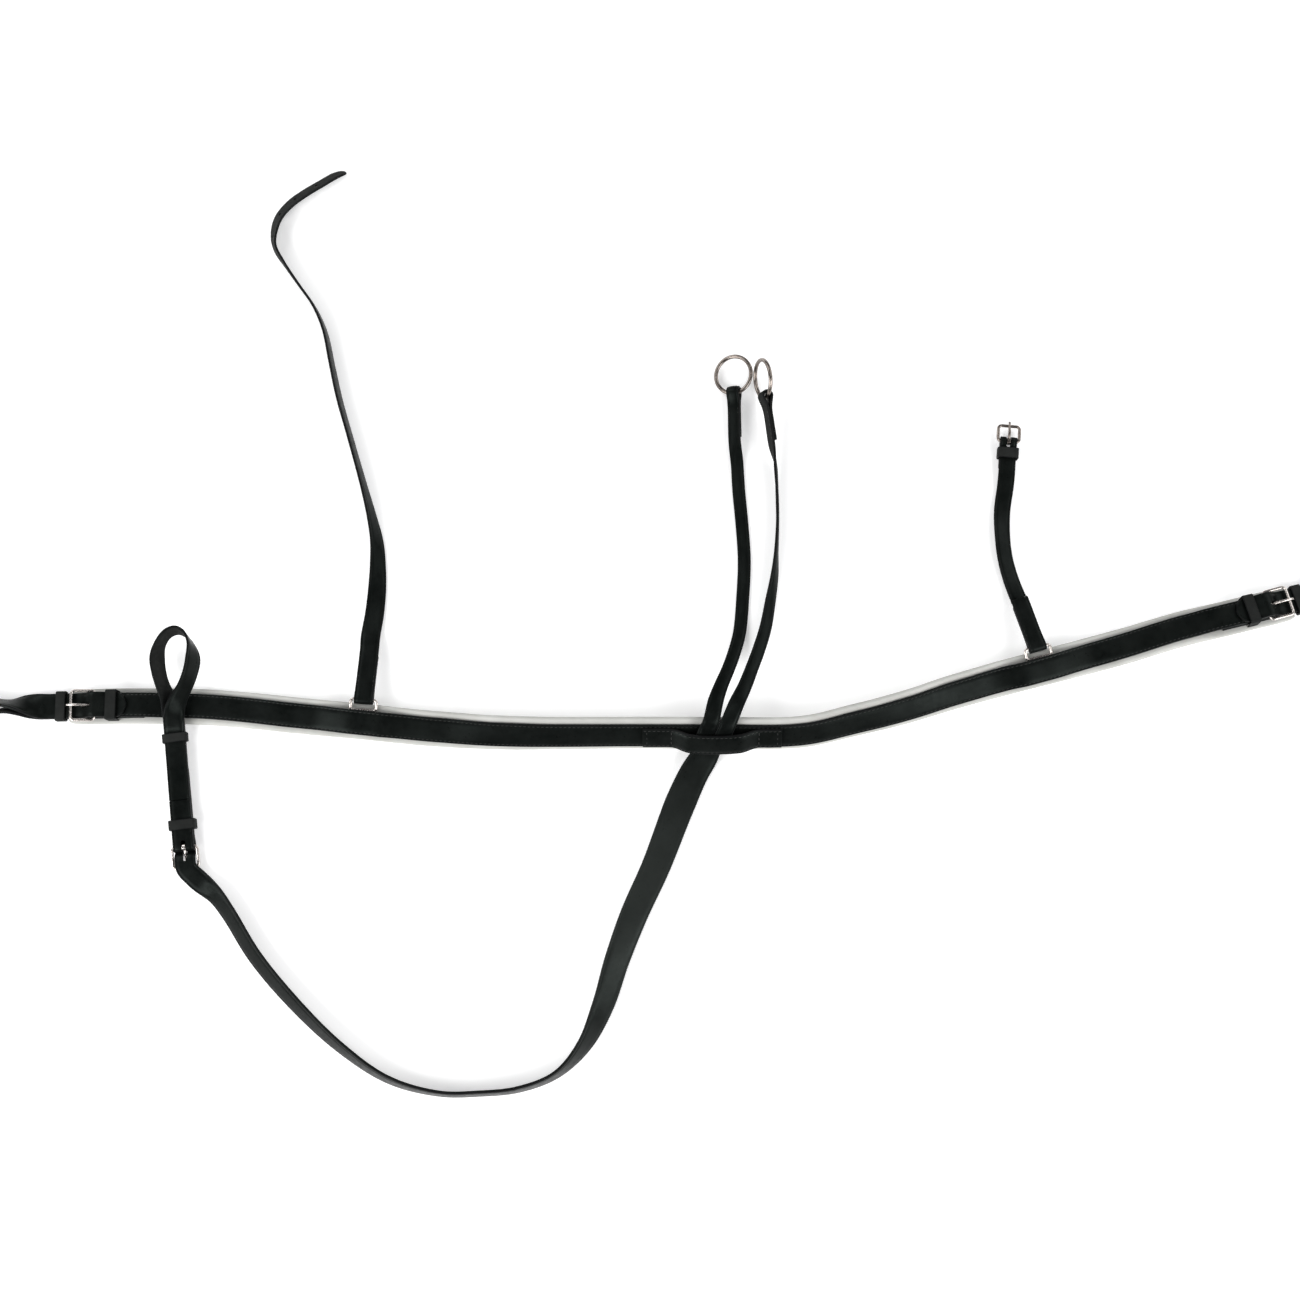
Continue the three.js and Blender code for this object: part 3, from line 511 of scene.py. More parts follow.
class Surface:
    """A material built by short calls; its textures are laid out in object coordinates."""

    def __init__(self, name):
        self.material = bpy.data.materials.new(name)
        self.material.use_nodes = True
        self.nodes = self.material.node_tree.nodes
        self.link = self.material.node_tree.links.new
        self.shader = self.nodes["Principled BSDF"]
        self.place = self.nodes.new("ShaderNodeTexCoord").outputs["Object"]

    def texture(self, kind, scale, output="Fac", **settings):
        node = self.nodes.new(f"ShaderNodeTex{kind}")
        for key, value in settings.items():
            if key in node.inputs:
                node.inputs[key].default_value = value
            else:
                setattr(node, key, value)
        node.inputs["Scale"].default_value = scale
        self.link(self.place, node.inputs["Vector"])
        return node.outputs[output]

    def noise(self, scale, detail, rough, distortion=0.0):
        return self.texture("Noise", scale, Detail=detail, Roughness=rough, Distortion=distortion)

    def cells(self, scale, smooth):
        return self.texture("Voronoi", scale, "Distance", feature="SMOOTH_F1", Smoothness=smooth)

    def spread(self, source, low, high, start=0.3, stop=0.7):
        node = self.nodes.new("ShaderNodeMapRange")
        set_inputs(node, {"From Min": start, "From Max": stop, "To Min": low, "To Max": high})
        self.link(source, node.inputs["Value"])
        return node.outputs["Result"]

    def blend(self, source, dark, light):
        node = self.nodes.new("ShaderNodeMix")
        node.data_type = "RGBA"
        set_inputs(node, {"A": (*dark, 1), "B": (*light, 1)})
        self.link(source, node.inputs["Factor"])
        return node.outputs["Result"]

    def painted_sheen(self, colour):
        """The colour with a paler patch about the body strap added to it: painted sheen, standing
        in for the glossy highlight there.
        """
        away = self.nodes.new("ShaderNodeVectorMath")
        away.operation = "DISTANCE"
        away.inputs[1].default_value = PAINTED_SHEEN["centre"]
        self.link(self.place, away.inputs[0])
        sheen_patch = self.nodes.new("ShaderNodeMix")
        sheen_patch.data_type = "RGBA"
        sheen_patch.blend_type = "ADD"
        sheen_patch.inputs["B"].default_value = (*PAINTED_SHEEN["colour"], 1)
        share = self.spread(away.outputs["Value"], 1, 0, PAINTED_SHEEN["full"], PAINTED_SHEEN["none"])
        self.link(share, sheen_patch.inputs["Factor"])
        self.link(colour, sheen_patch.inputs["A"])
        return sheen_patch.outputs["Result"]

    def bump(self, height, strength, distance, after=None):
        node = self.nodes.new("ShaderNodeBump")
        set_inputs(node, {"Strength": strength, "Distance": distance})
        self.link(height, node.inputs["Height"])
        if after:
            self.link(after, node.inputs["Normal"])
        return node.outputs["Normal"]

    def join(self, output, socket):
        self.link(output, self.shader.inputs[socket])


# painted sheen: a paler patch added to the leather's colour about the body strap and the bridge, in
# place of a glossy highlight
PAINTED_SHEEN = dict(centre=(-0.035, -0.28, 0), full=0.05, none=0.17, colour=(0.0135, 0.0150, 0.0140))


def leather(name, dark, light, rough, pore=1500, pore_strength=0.22, gloss=0.08):
    """Waxed black leather: cloudy colour with a painted sheen, paler about the body strap, and fine
    pores and creases.
    """
    s = Surface(name)
    cloud = s.spread(s.noise(38, 4.0, 0.6), 0, 1)
    # the base colour gets the painted sheen patch about the body strap
    s.join(s.painted_sheen(s.blend(cloud, dark, light)), "Base Color")
    s.join(s.spread(s.noise(210, 5.0, 0.65), rough - 0.09, rough + 0.11), "Roughness")
    creases = s.bump(s.noise(420, 6.0, 0.7, 0.6), 0.28, 0.00025)
    s.join(s.bump(s.cells(pore, 0.6), pore_strength, 0.00012, creases), "Normal")
    tint = (0.86, 1, 0.94, 1)
    set_inputs(s.shader, {"Specular IOR Level": gloss, "Specular Tint": tint})
    return s.material


def thread_material():
    s = Surface("waxed_thread")
    twist = s.texture("Wave", 900, Distortion=1.5)
    # painted shade: the colour follows the twist's height, darker in the grooves between strands
    # and paler on the crests
    s.join(s.blend(twist, (0.010, 0.010, 0.010), (0.034, 0.035, 0.033)), "Base Color")
    s.join(s.bump(twist, 0.5, 0.00008), "Normal")
    set_inputs(s.shader, {"Roughness": 0.55, "Specular IOR Level": 0.35})
    return s.material


def lining_material():
    """Soft pale grey lining: a fine grain with slight shade changes and a little sheen."""
    s = Surface("padding_lining")
    cloud = s.spread(s.noise(22, 5.0, 0.6), 0, 1)
    s.join(s.blend(cloud, (0.42, 0.42, 0.395), (0.54, 0.54, 0.515)), "Base Color")
    folds = s.noise(160, 5.0, 0.6)
    s.join(s.bump(s.cells(1100, 0.8), 0.25, 0.00015, s.bump(folds, 0.35, 0.0006)), "Normal")
    s.join(s.spread(folds, 0.62, 0.8), "Roughness")
    set_inputs(s.shader, {"Sheen Weight": 0.25, "Sheen Roughness": 0.5})
    return s.material


def nickel_material(name, dark, light):
    """Polished nickel with a warm cast, light handling marks and dulled patches."""
    s = Surface(name)
    s.join(s.blend(s.spread(s.noise(90, 4.0, 0.6), 0, 1), dark, light), "Base Color")
    marks = s.noise(700, 6.0, 0.75, 1.2)
    s.join(s.spread(marks, 0.16, 0.34), "Roughness")
    s.join(s.bump(marks, 0.06, 0.0001), "Normal")
    set_inputs(s.shader, {"Metallic": 1.0})
    return s.material


GRAIN_LEATHER = leather("grain_leather", (0.0016, 0.0021, 0.0019), (0.0060, 0.0070, 0.0065), 0.34)
FLESH_LEATHER = leather("flesh_leather", (0.007, 0.007, 0.007), (0.016, 0.016, 0.0155), 0.78,
                        pore=700, pore_strength=0.5, gloss=0.15)
EDGE_LEATHER = leather("edge_dressing", (0.004, 0.004, 0.0042), (0.009, 0.009, 0.0095), 0.40,
                       pore=900, pore_strength=0.1)
KEEPER_LEATHER = leather("keeper_leather", (0.0026, 0.003, 0.0028), (0.0065, 0.0072, 0.0068), 0.40)
THREAD = thread_material()
LINING = lining_material()
NICKEL = nickel_material("nickel_plate", (0.46, 0.42, 0.39), (0.68, 0.64, 0.61))
# painted shade: a darker copy of the same nickel, standing in for the dark reflections on the rein
# rings and the neck buckle
SHADED_NICKEL = nickel_material("shaded_nickel", (0.15, 0.125, 0.11), (0.30, 0.265, 0.24))
LEATHER_SET = [GRAIN_LEATHER, FLESH_LEATHER, EDGE_LEATHER]
KEEPER_SET = [KEEPER_LEATHER, FLESH_LEATHER, EDGE_LEATHER]


def mount_metal(piece, points, faces, metal=NICKEL):
    """A metal piece, given by its name, the CAD node it stands for and that node's body."""
    name, node, body = piece
    item = add_mesh(name, points, faces, None, [metal], sharp=60)
    mount_piece(item, node, body)


def mount_piece(item, node, body):
    """The piece stands for a CAD node, on that node's body; the node's own part is hidden."""
    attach(item, body)
    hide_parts(node)


# ---- the camera, the floor and the light ----

VIEW = dict(target=Vector((-0.0305, -0.0369, 0)), elevation=80, distance=1.8056, lens=50)
SENSOR_WIDTH = 36
FLOOR_HALF = 4.0
FLOOR_PAPER = {
    "Base Color": (0.92, 0.92, 0.92, 1), "Emission Color": (1, 1, 1, 1),
    "Emission Strength": 0.3, "Roughness": 0.9, "Specular IOR Level": 0.1,
}
SKY = {"Color": (0.95, 0.97, 1, 1), "Strength": 0.12}
PANEL_DISTANCE = 2.3
SIDE_PANELS = dict(powers={35: 17, 140: 20, 215: 48, 325: 40}, height=32, breadth=1.8)
TOP_PANEL = (90, 80, 0.6, 3)


def add_camera():
    lens = bpy.data.cameras.new("camera")
    lens.lens = VIEW["lens"]
    lens.sensor_width = SENSOR_WIDTH
    camera = add_object("camera", lens)
    lift = radians(VIEW["elevation"])
    back = Vector((0, -cos(lift), sin(lift)))
    camera.location = VIEW["target"] + back * VIEW["distance"]
    camera.rotation_euler = (-back).to_track_quat("-Z", "Y").to_euler()
    bpy.context.scene.camera = camera


def add_floor():
    mesh = bpy.data.meshes.new("floor")
    corners = [(x * FLOOR_HALF, y * FLOOR_HALF, 0) for x, y in ((-1, -1), (1, -1), (1, 1), (-1, 1))]
    mesh.from_pydata(corners, [], [(0, 1, 2, 3)])
    floor = add_object("floor", mesh)
    material = bpy.data.materials.new("floor_paper")
    material.use_nodes = True
    set_inputs(material.node_tree.nodes["Principled BSDF"], FLOOR_PAPER)
    mesh.materials.append(material)


def add_lights():
    """Soft panels round the object, with a dim even light from everywhere."""
    world = bpy.data.worlds.new("studio")
    bpy.context.scene.world = world
    world.use_nodes = True
    set_inputs(world.node_tree.nodes["Background"], SKY)
    around = [(azimuth, SIDE_PANELS["height"], SIDE_PANELS["breadth"], power)
              for azimuth, power in SIDE_PANELS["powers"].items()]
    for azimuth, height, breadth, power in [*around, TOP_PANEL]:
        panel = bpy.data.lights.new("panel", "AREA")
        panel.shape = "RECTANGLE"
        panel.size = breadth
        panel.size_y = breadth * 2 / 3
        panel.energy = power
        item = add_object("panel", panel)
        turn, rise = radians(azimuth), radians(height)
        direction = Vector((cos(turn) * cos(rise), sin(turn) * cos(rise),
                            sin(rise)))
        item.location = direction * PANEL_DISTANCE
        item.rotation_euler = direction.to_track_quat("Z", "Y").to_euler()


# ---- the breast collar ----

def pad_thickness(distance):
    return profile([(52, PAD["end_thick"]), (80, PAD["thick"])], from_end(distance))


def pad_section(station):
    """Outline of the padding: flat under the strap and swollen at both edges."""
    half = station.width / 2
    thick = station.thick
    seam = BREAST["width"] / 2 - SEAM_INSET
    top = [(half * 0.995, 0.05), (half * 0.985, 0.2), (half * 0.955, 0.36), (half * 0.905, 0.47),
           (half * 0.84, 0.515), (half * 0.77, 0.51), (half * 0.71, 0.495), (seam + 0.8, 0.485),
           (seam, 0.42), (seam - 1.2, 0.48), (seam * 0.5, 0.495)]
    top = [(v, h * thick) for v, h in top]
    upper = top + [(0, thick * 0.495)] + [(-v, h) for v, h in reversed(top)]
    bottom = [(half * 0.985, -0.2), (half * 0.95, -0.34), (half * 0.89, -0.45),
              (half * 0.8, -0.497), (seam + 1, -0.5), (seam, -0.44), (seam - 1, -0.5), (0, -0.5)]
    bottom = [(v, h * thick) for v, h in bottom]
    lower = [(-v, h) for v, h in bottom[:-1]] + list(reversed(bottom))
    points = upper + lower
    return points, [0] * len(points)


def breast_padding():
    ends = [-PAD["overhang"] + step for step in (0, 0.6, 1.6, 3.2, 6)]
    middle = list(np.linspace(9 - PAD["overhang"], COLLAR_LENGTH + PAD["overhang"] - 9, 400))
    places = [*ends, *middle, *(COLLAR_LENGTH - s for s in reversed(ends))]
    taper = [(-PAD["overhang"], 31), (-PAD["overhang"] + 6, 35), (-8, PAD["width"])]
    rows = []
    for s in places:
        thick = pad_thickness(s)
        near = from_end(s) + PAD["overhang"]
        thin = 1 if near > 3.2 else 0.35 + 0.65 * sqrt(max(0, 1 - (1 - near / 3.2) ** 2))
        rows.append(collar_key(s, 0, thick / 2, profile(taper, from_end(s)), thick * thin))
    points, faces, _ = sweep(framed(rows), pad_section)
    item = add_mesh("padding", points, faces, None, [LINING], sharp=70)
    mount_piece(item, "breast_padding", "collar")


FOLD_RADIUS = WIRE_RADIUS + GAP + BREAST["end_thick"] / 2
SEWN_GAP = 0.45
REST_HEIGHT = PAD["thick"] + SEWN_GAP + BREAST["thick"] / 2
END_HEIGHT = HEEL_HEIGHT - FOLD_RADIUS + BREAST["end_thick"] + GAP
TOP_LEG = [
    (0, HEEL_HEIGHT + FOLD_RADIUS), (5, 14.4), (12, 12.2), (20, END_HEIGHT), (50, END_HEIGHT),
    (76, REST_HEIGHT),
]
RING_LIFT = [(0, 5.2), (16, 5.2), (44, 0)]
CHAPE_SLOT = dict(start=-6.5, end=6.5, width=5)
MIDDLE_START = 60
MIDDLE_COUNT = 66


def chape_slot(matrix, bottom=7, top=17):
    """The slot in a fold round a heel bar that the tongue passes through."""
    return slot_cutter(**CHAPE_SLOT, bottom=bottom, top=top, matrix=matrix)


def breast_strap():
    size = (BREAST["width"], BREAST["end_thick"])

    def folded_end(place):
        bottom = HEEL_HEIGHT - FOLD_RADIUS
        rows = [(d, bottom) for d in (44, 30, 15, 6)]
        rows += [(-x, z) for x, z in arc(FOLD_RADIUS, -90, 90, 30, HEEL_HEIGHT)]
        rows += TOP_LEG[1:5]
        return [collar_key(place(d), 0, height, *size) for d, height in rows]

    keys = folded_end(lambda d: d)
    for s in np.linspace(MIDDLE_START, COLLAR_LENGTH - MIDDLE_START, MIDDLE_COUNT + 1):
        thick = profile([(50, BREAST["end_thick"]), (76, BREAST["thick"])], from_end(s))
        height = profile(TOP_LEG, from_end(s))
        height += sum(profile(RING_LIFT, abs(s - at)) for at in WITHER.values())
        keys.append(collar_key(s, 0, height, BREAST["width"], thick))
    keys += reversed(folded_end(lambda d: COLLAR_LENGTH - d))
    stations = stations_through(keys)
    slots = [chape_slot(collar_frame(s)) for s in (0, COLLAR_LENGTH)]
    strap("breast_strap", "breast_strap", "collar", stations, slots, dome=0.25)
    heel = [i for i, s in enumerate(stations) if s.face.z > 0.5]
    lines = edge_lines(stations[heel[0] + 6:heel[-1] - 5])
    stitching("breast_strap_stitching", lines, "collar")
    under = []
    for edge in (-1, 1):
        offset = edge * (BREAST["width"] / 2 - SEAM_INSET)
        rows = [collar_frame(s) for s in np.linspace(12, COLLAR_LENGTH - 12, 280)]
        height = 0.06 * PAD["thick"] + 0.1
        under.append([(m @ Vector((0, offset, height)), -(m.to_3x3() @ Z)) for m in rows])
    stitching("padding_stitching", under, "collar")


BRIDGE_SEWN = REST_HEIGHT + BREAST["thick"] + GAP
BODY_LAYER = BRIDGE_SEWN
LEG_LAYER = BRIDGE_SEWN + (BODY["thick"] + LEG["thick"]) / 2 + GAP
BRIDGE_TOP = LEG_LAYER + (LEG["thick"] + BRIDGE["thick"]) / 2 + 0.7


def centre_bridge():
    rows = [
        (-68, BRIDGE_SEWN, 0), (-50, BRIDGE_SEWN, 0), (-38, BRIDGE_SEWN, 0.4),
        (-31, BRIDGE_SEWN + 3.2, 1.2), (-24, BRIDGE_TOP, 2.2), (-12, BRIDGE_TOP + 0.6, 3.4),
        (4, BRIDGE_TOP + 0.8, 3.8), (20, BRIDGE_TOP + 0.6, 3.2), (30, BRIDGE_TOP, 2),
        (37, BRIDGE_SEWN + 3.2, 1.2), (44, BRIDGE_SEWN, 0.4), (56, BRIDGE_SEWN, 0),
        (68, BRIDGE_SEWN, 0),
    ]
    keys = [collar_key(BRIDGE["at"] + u, -0.5 - bow, height, BRIDGE["width"], BRIDGE["thick"])
            for u, height, bow in rows]
    stations = stations_through(keys)
    strap("centre_bridge", "centre_bridge", "collar", stations, dome=0.2)
    lines = edge_lines(stations)
    for place in (-64, -40, 46, 64):
        matrix = collar_frame(BRIDGE["at"] + place)
        height = BRIDGE_SEWN + BRIDGE["thick"] / 2 + 0.05
        lines.append([(matrix @ Vector((0, v - 0.5, height)), matrix.to_3x3() @ Z)
                      for v in (-8, 0, 8)])
    stitching("centre_bridge_stitching", lines, "collar")


# ---- buckles and keepers, with x from the heel bar to the front bar ----

def rounded_loop(half, start, end, corner, level):
    """Points round a wire loop with arcs at its corners; level gives the height at x."""
    corners = [(end, half, 0), (start, half, 90), (start, -half, 180), (end, -half, 270)]
    points = []
    for x, y, first in corners:
        cx = x - math.copysign(corner, x - (start + end) / 2)
        cy = y - math.copysign(corner, y)
        for i in range(9):
            a = radians(first + 90 * i / 8)
            px = cx + corner * cos(a)
            points.append(Vector((px, cy + corner * sin(a), level(px))))
    return points


def buckle_frame(sizes, heel, matrix):
    reach, half, rise = sizes["reach"], sizes["half"], sizes["rise"]
    loop = rounded_loop(half, 0, reach, 3.4, lambda x: heel + rise * x / reach)
    normal = Vector((-rise, 0, reach)).normalized()
    points = [matrix @ p for p in reversed(loop)]
    return wire(points, WIRE_RADIUS, matrix.to_3x3() @ normal, looped=True)


def buckle_tongue(sizes, heel, matrix):
    """A tongue: a band wrapped round the heel bar and a tapered rod with a bent, rounded tip."""
    reach, rise = sizes["reach"], sizes["rise"]
    radius = 1.3
    top = heel + rise + WIRE_RADIUS + GAP + radius
    rows = [(2.4, heel + 1.2), (6, heel + 2.9), (10, max(heel + 3.8, top - 1.6)),
            (reach * 0.75, top), (reach, top + 0.1), (reach + 3.4, top - 1.1)]
    path = curve_through([Vector((x, 0, z)) for x, z in rows])
    line = [path(k, i / 6) for k in range(len(rows) - 1) for i in range(6)]
    line.append(Vector((rows[-1][0], 0, rows[-1][1])))
    radii = [1.45 + (1.1 - 1.45) * i / (len(line) - 1) for i in range(len(line))]
    ahead = (line[-1] - line[-2]).normalized()
    for share in (0.5, 0.8, 0.97):
        line.append(line[-1] + ahead * 0.25)
        radii.append(1.1 * sqrt(1 - share * share))
    turned = matrix.to_3x3()
    points, faces = wire([matrix @ p for p in line], radii, turned @ Y, sides=14)
    eye = [(matrix @ Vector((x, 0, z)), turned @ Y, 4.0, 1.5)
           for x, z in arc(2.74, 0, -360, 12, heel)]

    def section(station):
        outline, _ = strap_section(station.width, station.thick, groove=0.9, depth=0)
        return outline, [0] * len(outline)

    more, more_faces, _ = sweep(framed(eye, looped=True), section, looped=True)
    offset = len(points)
    faces += [tuple(i + offset for i in face) for face in more_faces]
    return points + more, faces


def buckle(sizes, heel, matrix, frame_piece, tongue_piece, metal=NICKEL):
    mount_metal(frame_piece, *buckle_frame(sizes, heel, matrix), metal)
    mount_metal(tongue_piece, *buckle_tongue(sizes, heel, matrix), metal)


def keeper_ring(x, sides, levels, closed=True, corner=1.9):
    """Points of a keeper's middle line round a strap at x, in the y, z plane."""
    half = KEEPER_THICK / 2
    left, right = sides[0] - half, sides[1] + half
    low, high = levels[0] - half, levels[1] + half

    def bend(cy, cz, first):
        angles = [radians(first - 90 * i / 5) for i in range(6)]
        return [(x, cy + corner * cos(a), cz + corner * sin(a)) for a in angles]

    upper = bend(left + corner, high - corner, 180) + bend(right - corner, high - corner, 90)
    if not closed:
        return [(x, left, levels[0]), *upper, (x, right, levels[0])]
    lower = bend(right - corner, low + corner, 0) + bend(left + corner, low + corner, 270)
    return upper + lower


def keeper(name, node, body, matrix, x, sides, levels, width, closed=True):
    """A leather band round a strap at x; an open one ends against the strap's sides."""
    ring = keeper_ring(x, sides, levels, closed)
    keys = placed([Key(Vector(p), X, width, KEEPER_THICK) for p in ring], matrix)
    stations = framed([*keys, keys[0]] if closed else keys, looped=closed)

    def section(station):
        return strap_section(station.width, station.thick, groove=1.6, depth=0.15)

    points, faces, kinds = sweep(stations, section, looped=closed)
    mount_piece(add_mesh(name, points, faces, kinds, KEEPER_SET), node, body)


# ---- girth loops ----

def leaning_rest(size, roll):
    lean = radians(roll)
    return (size["width"] * sin(lean) + size["thick"] * cos(lean)) / 2


def loop_runs(rows, lead, closing, lift, size):
    """The two runs of a girth loop and the teardrop end between them, as three key lists."""
    def key(x, y, z, w):
        return Key(Vector((x, y + profile(lead, x), z)), w, size["width"], size["thick"])

    def run(sign):
        keys = []
        for x, roll, spread, turn in rows:
            lean = radians(roll)
            angle = radians(turn)
            z = leaning_rest(size, roll) + profile(lift, x) + sign * spread * cos(angle)
            w = Vector((0, cos(lean), sin(lean)))
            keys.append(key(x, -sign * spread * sin(angle), z, w))
        return keys

    last_x, last_roll, widest = rows[-1][:3]
    tip = []
    for angle in (-60, -30, 0, 30, 60):
        along = cos(radians(angle))
        roll = last_roll + (78 - last_roll) * along
        lean = radians(roll)
        x = last_x + closing * along
        w = Vector((along * cos(lean), cos(lean) * (1 - along), sin(lean)))
        z = leaning_rest(size, roll) + profile(lift, x)
        tip.append(key(x, widest * sin(radians(angle)), z, w.normalized()))
    return run(1), tip, run(-1)[::-1]


BILLET = [
    (18, 9.6), (12, 10.8), (8, 13.4), (4.6, 16.6), (1, 18.3), (-3, 18.3), (-8, 16.8), (-14, 15.2),
    (-20, 14.9),
]
BILLET_HOLE = dict(start=2, end=13.7, width=4.2, bottom=8.2, top=22)


def girth_strap(side, matrix):
    half = (GIRTH["thick"] + GAP) / 2
    rows = [
        (30, 0, half, 0), (49, 0, 1.95, 0), (56, 9, 2.4, 9), (66, 34, 2.9, 34),
        (77, 58, 3, 58), (86, 70, 3.3, 74), (98, 74, 5.2, 90), (112, 74, 9.5, 90),
        (128, 74, 13, 90),
    ]
    lift = [(49, PAD["end_thick"] + GAP + half), (70, half + 0.3), (86, half), (98, 0.3)]
    upper, tip, lower = loop_runs(rows, [(0, 0), (160, 0)], 26, lift, GIRTH)
    low = PAD["end_thick"] + GAP + GIRTH["thick"] / 2
    billet = BILLET[::-1]
    start = [(x, profile(billet, x)) for x in (-32, *(x for x, _ in billet))] + [(25, 9.2)]
    end = [(x, low) for x in (15, -10, -30, -48)]
    keys = [*level_keys(start, GIRTH), *upper, *tip, *lower, *level_keys(end, GIRTH)]
    stations = stations_through(placed(keys, matrix), step=3.5)
    hole = slot_cutter(**BILLET_HOLE, matrix=matrix)
    strap(f"girth_strap_{side}", f"girth_strap_{side}", "collar", stations, [hole], tips=(11, 0))


def girth_end(side):
    matrix = outward_frame(side)
    low = PAD["end_thick"] + GAP
    girth_strap(side, matrix)
    buckle(BIG_BUCKLE, HEEL_HEIGHT, matrix,
           (f"girth_buckle_{side}", f"girth_buckle_frame_{side}", "collar"),
           (f"girth_tongue_{side}", f"girth_buckle_tongue_{side}", f"girth_tongue_{side}"))
    keeper(f"sewn_keeper_{side}", f"collar_keeper_{side}", "collar", matrix, -17.5, (-13.4, 13.4),
           (low + 0.1, 18), 11, closed=False)
    keeper(f"running_keeper_band_{side}", f"girth_running_keeper_{side}",
           f"running_keeper_{side}", matrix, 33.8, (-13.3, 13.3), (3.7, 11.2), 10)


# ---- the martingale: body strap, fork legs and rein rings ----

CROSSING = radians(20)


def crossing_key(along, aside, height, width, thick):
    u = along * sin(CROSSING) + aside * cos(CROSSING)
    v = along * cos(CROSSING) - aside * sin(CROSSING)
    matrix = collar_frame(BRIDGE["at"] + u)
    w = matrix.to_3x3() @ Vector((cos(CROSSING), -sin(CROSSING), 0))
    return Key(matrix @ Vector((0, v, height)), w, width, thick)


LOOP_HEEL = Vector((-520, -104, HEEL_HEIGHT + 7.9))
LOOP_FRAME = (Matrix.Translation(LOOP_HEEL) @ Matrix.Rotation(radians(-83), 4, "Z")
              @ Matrix.Rotation(pi, 4, "X"))
BODY_ROUTE = [
    (-21.5, -31, -9, 1.2, 29), (-35, -60, -3, 0.2, 30.5), (-59.5, -123, -5, 0, 28.2),
    (-80.5, -169, -12, 0, 27.3), (-97, -213, -25, 0, 26), (-110, -255, -38, 0, 25.5),
    (-128, -293, -60, 0, 25), (-154, -320, -76, 0, 24.5), (-190, -334, -78, 0, 23),
    (-228, -338, -78, 0, 21.5),
    (-266, -338, -77, 0, 20.5), (-315, -325, -70, 0, 20.5), (-363, -294, -60, 0, 20.5),
    (-410, -251, -50, 0, 20.5), (-447, -209, -45, 0, 20.5), (-474, -168, -42, 0.3, 20.5),
    (-488, -150, -34, 1, 20.5),
]


def body_strap():
    size = dict(width=BODY["top_width"], thick=BODY["thick"])
    leaving = [(16, 0.1), (8, 0.1), (0, 0.1), (-10, 0.2), (-17, 1.2), (-23.3, 2.3)]
    crossing = [crossing_key(along, 0, BODY_LAYER + rise, size["width"], size["thick"])
                for along, rise in leaving]
    end = dict(width=BODY["end_width"], thick=BODY["thick"])
    tail = [(32, -9.5, 13), (21, -1.2, 10.5), (13, 0, 11.4), *((x, 0, z) for x, z in BILLET[2:]),
            (-40, 0, 14.9), (-62, 0.3, 14.9), (-86, 0.6, 14.9)]
    keys = [*crossing, *aimed(BODY_ROUTE, size), *placed(level_keys(tail, end), LOOP_FRAME)]
    hole = slot_cutter(**BILLET_HOLE, matrix=LOOP_FRAME)
    strap("body_strap", "martingale_body_strap", "martingale", stations_through(keys), [hole],
          dome=0.3, tips=(0, 11))


RING_PLAY = 1.6
RING_FOLD = REIN_RING["wire"] + RING_PLAY + LEG["thick"] / 2
RING_SET = 0.6 - REIN_RING["radius"]


FOLD_TAIL = 46  # from a ring's bar to the sewn end of the fold round it


def fold_keys(radius, size, lead):
    """A fold round a bar: the return leg, half a turn and the start of the main leg."""
    closed = (size["thick"] + GAP) / 2
    closing = closed + (radius - closed) * 0.42
    rows = [(FOLD_TAIL, -closed), (FOLD_TAIL * 0.6, -closed), (14, -closed - 0.1), (7, -closing)]
    rows += [(-x, z) for x, z in arc(radius, -90, 90, 30)]
    rows += [(7, closing), (14, closed + 0.1), (lead, closed)]
    return level_keys(rows, size)


REIN = dict(
    left=dict(hold=Vector((20.6, 358, 9.6)), away=Vector((0.02, -1, -0.08)),
              along=Vector((1, 0, 0.42))),
    right=dict(hold=Vector((52.3, 351, 18.5)), away=Vector((0.15, -1, -0.11)),
               along=Vector((0.32, 0, 0.95))),
)
LEG_ROUTES = dict(
    left=(-8.4, [
        (-1, 36, 0, 33.5, 15.5), (4.5, 52, 0, 26, 14), (12, 70, 0, 16), (18.5, 88, 0, 7.5),
        (24.5, 110, 0, 1.5), (28, 144, 0), (30, 185, 0), (28, 222, 0), (25, 258, 0, 0.3),
        (23.6, 284, 8, 0.7),
    ]),
    right=(8.4, [
        (19.5, 34, 0, 34, 15.5), (28, 52, 2, 27, 14), (35.5, 71, 6, 17), (43, 91, 12, 9),
        (50.5, 115, 24, 3), (56, 144, 40), (60, 168, 58), (62, 192, 76), (63.5, 227, 86),
        (63, 258, 86, 1), (62, 281, 80, 2.5),
    ]),
)


def fork_leg(side):
    aside, ground = LEG_ROUTES[side]
    start = [crossing_key(place, aside, LEG_LAYER, LEG["fork_width"], LEG["thick"])
             for place in (-9, 0, 9, 19)]
    fold = placed(fold_keys(RING_FOLD, LEG, 50), basis(**REIN[side]))
    stations = stations_through([*start, *aimed(ground, LEG), *fold[::-1]])
    name = f"fork_leg_{side}"
    strap(name, name, "martingale", stations, grain=-1, dome=0.8, groove=LEG_SEAM)
    back = stations_through(fold[:4])
    fold_stitching(name, back, LEG["thick"], LEG_SEAM, "martingale")


def fold_stitching(name, back, thick, inset, body):
    """Stitching of a fold: on the return leg, and opposite it on the main leg's face."""
    through = [s._replace(p=s.p - s.face * (thick + GAP)) for s in back]
    lines = edge_lines(back, inset) + edge_lines(through, inset, side=-1)
    stitching(f"{name}_stitching", lines, body)


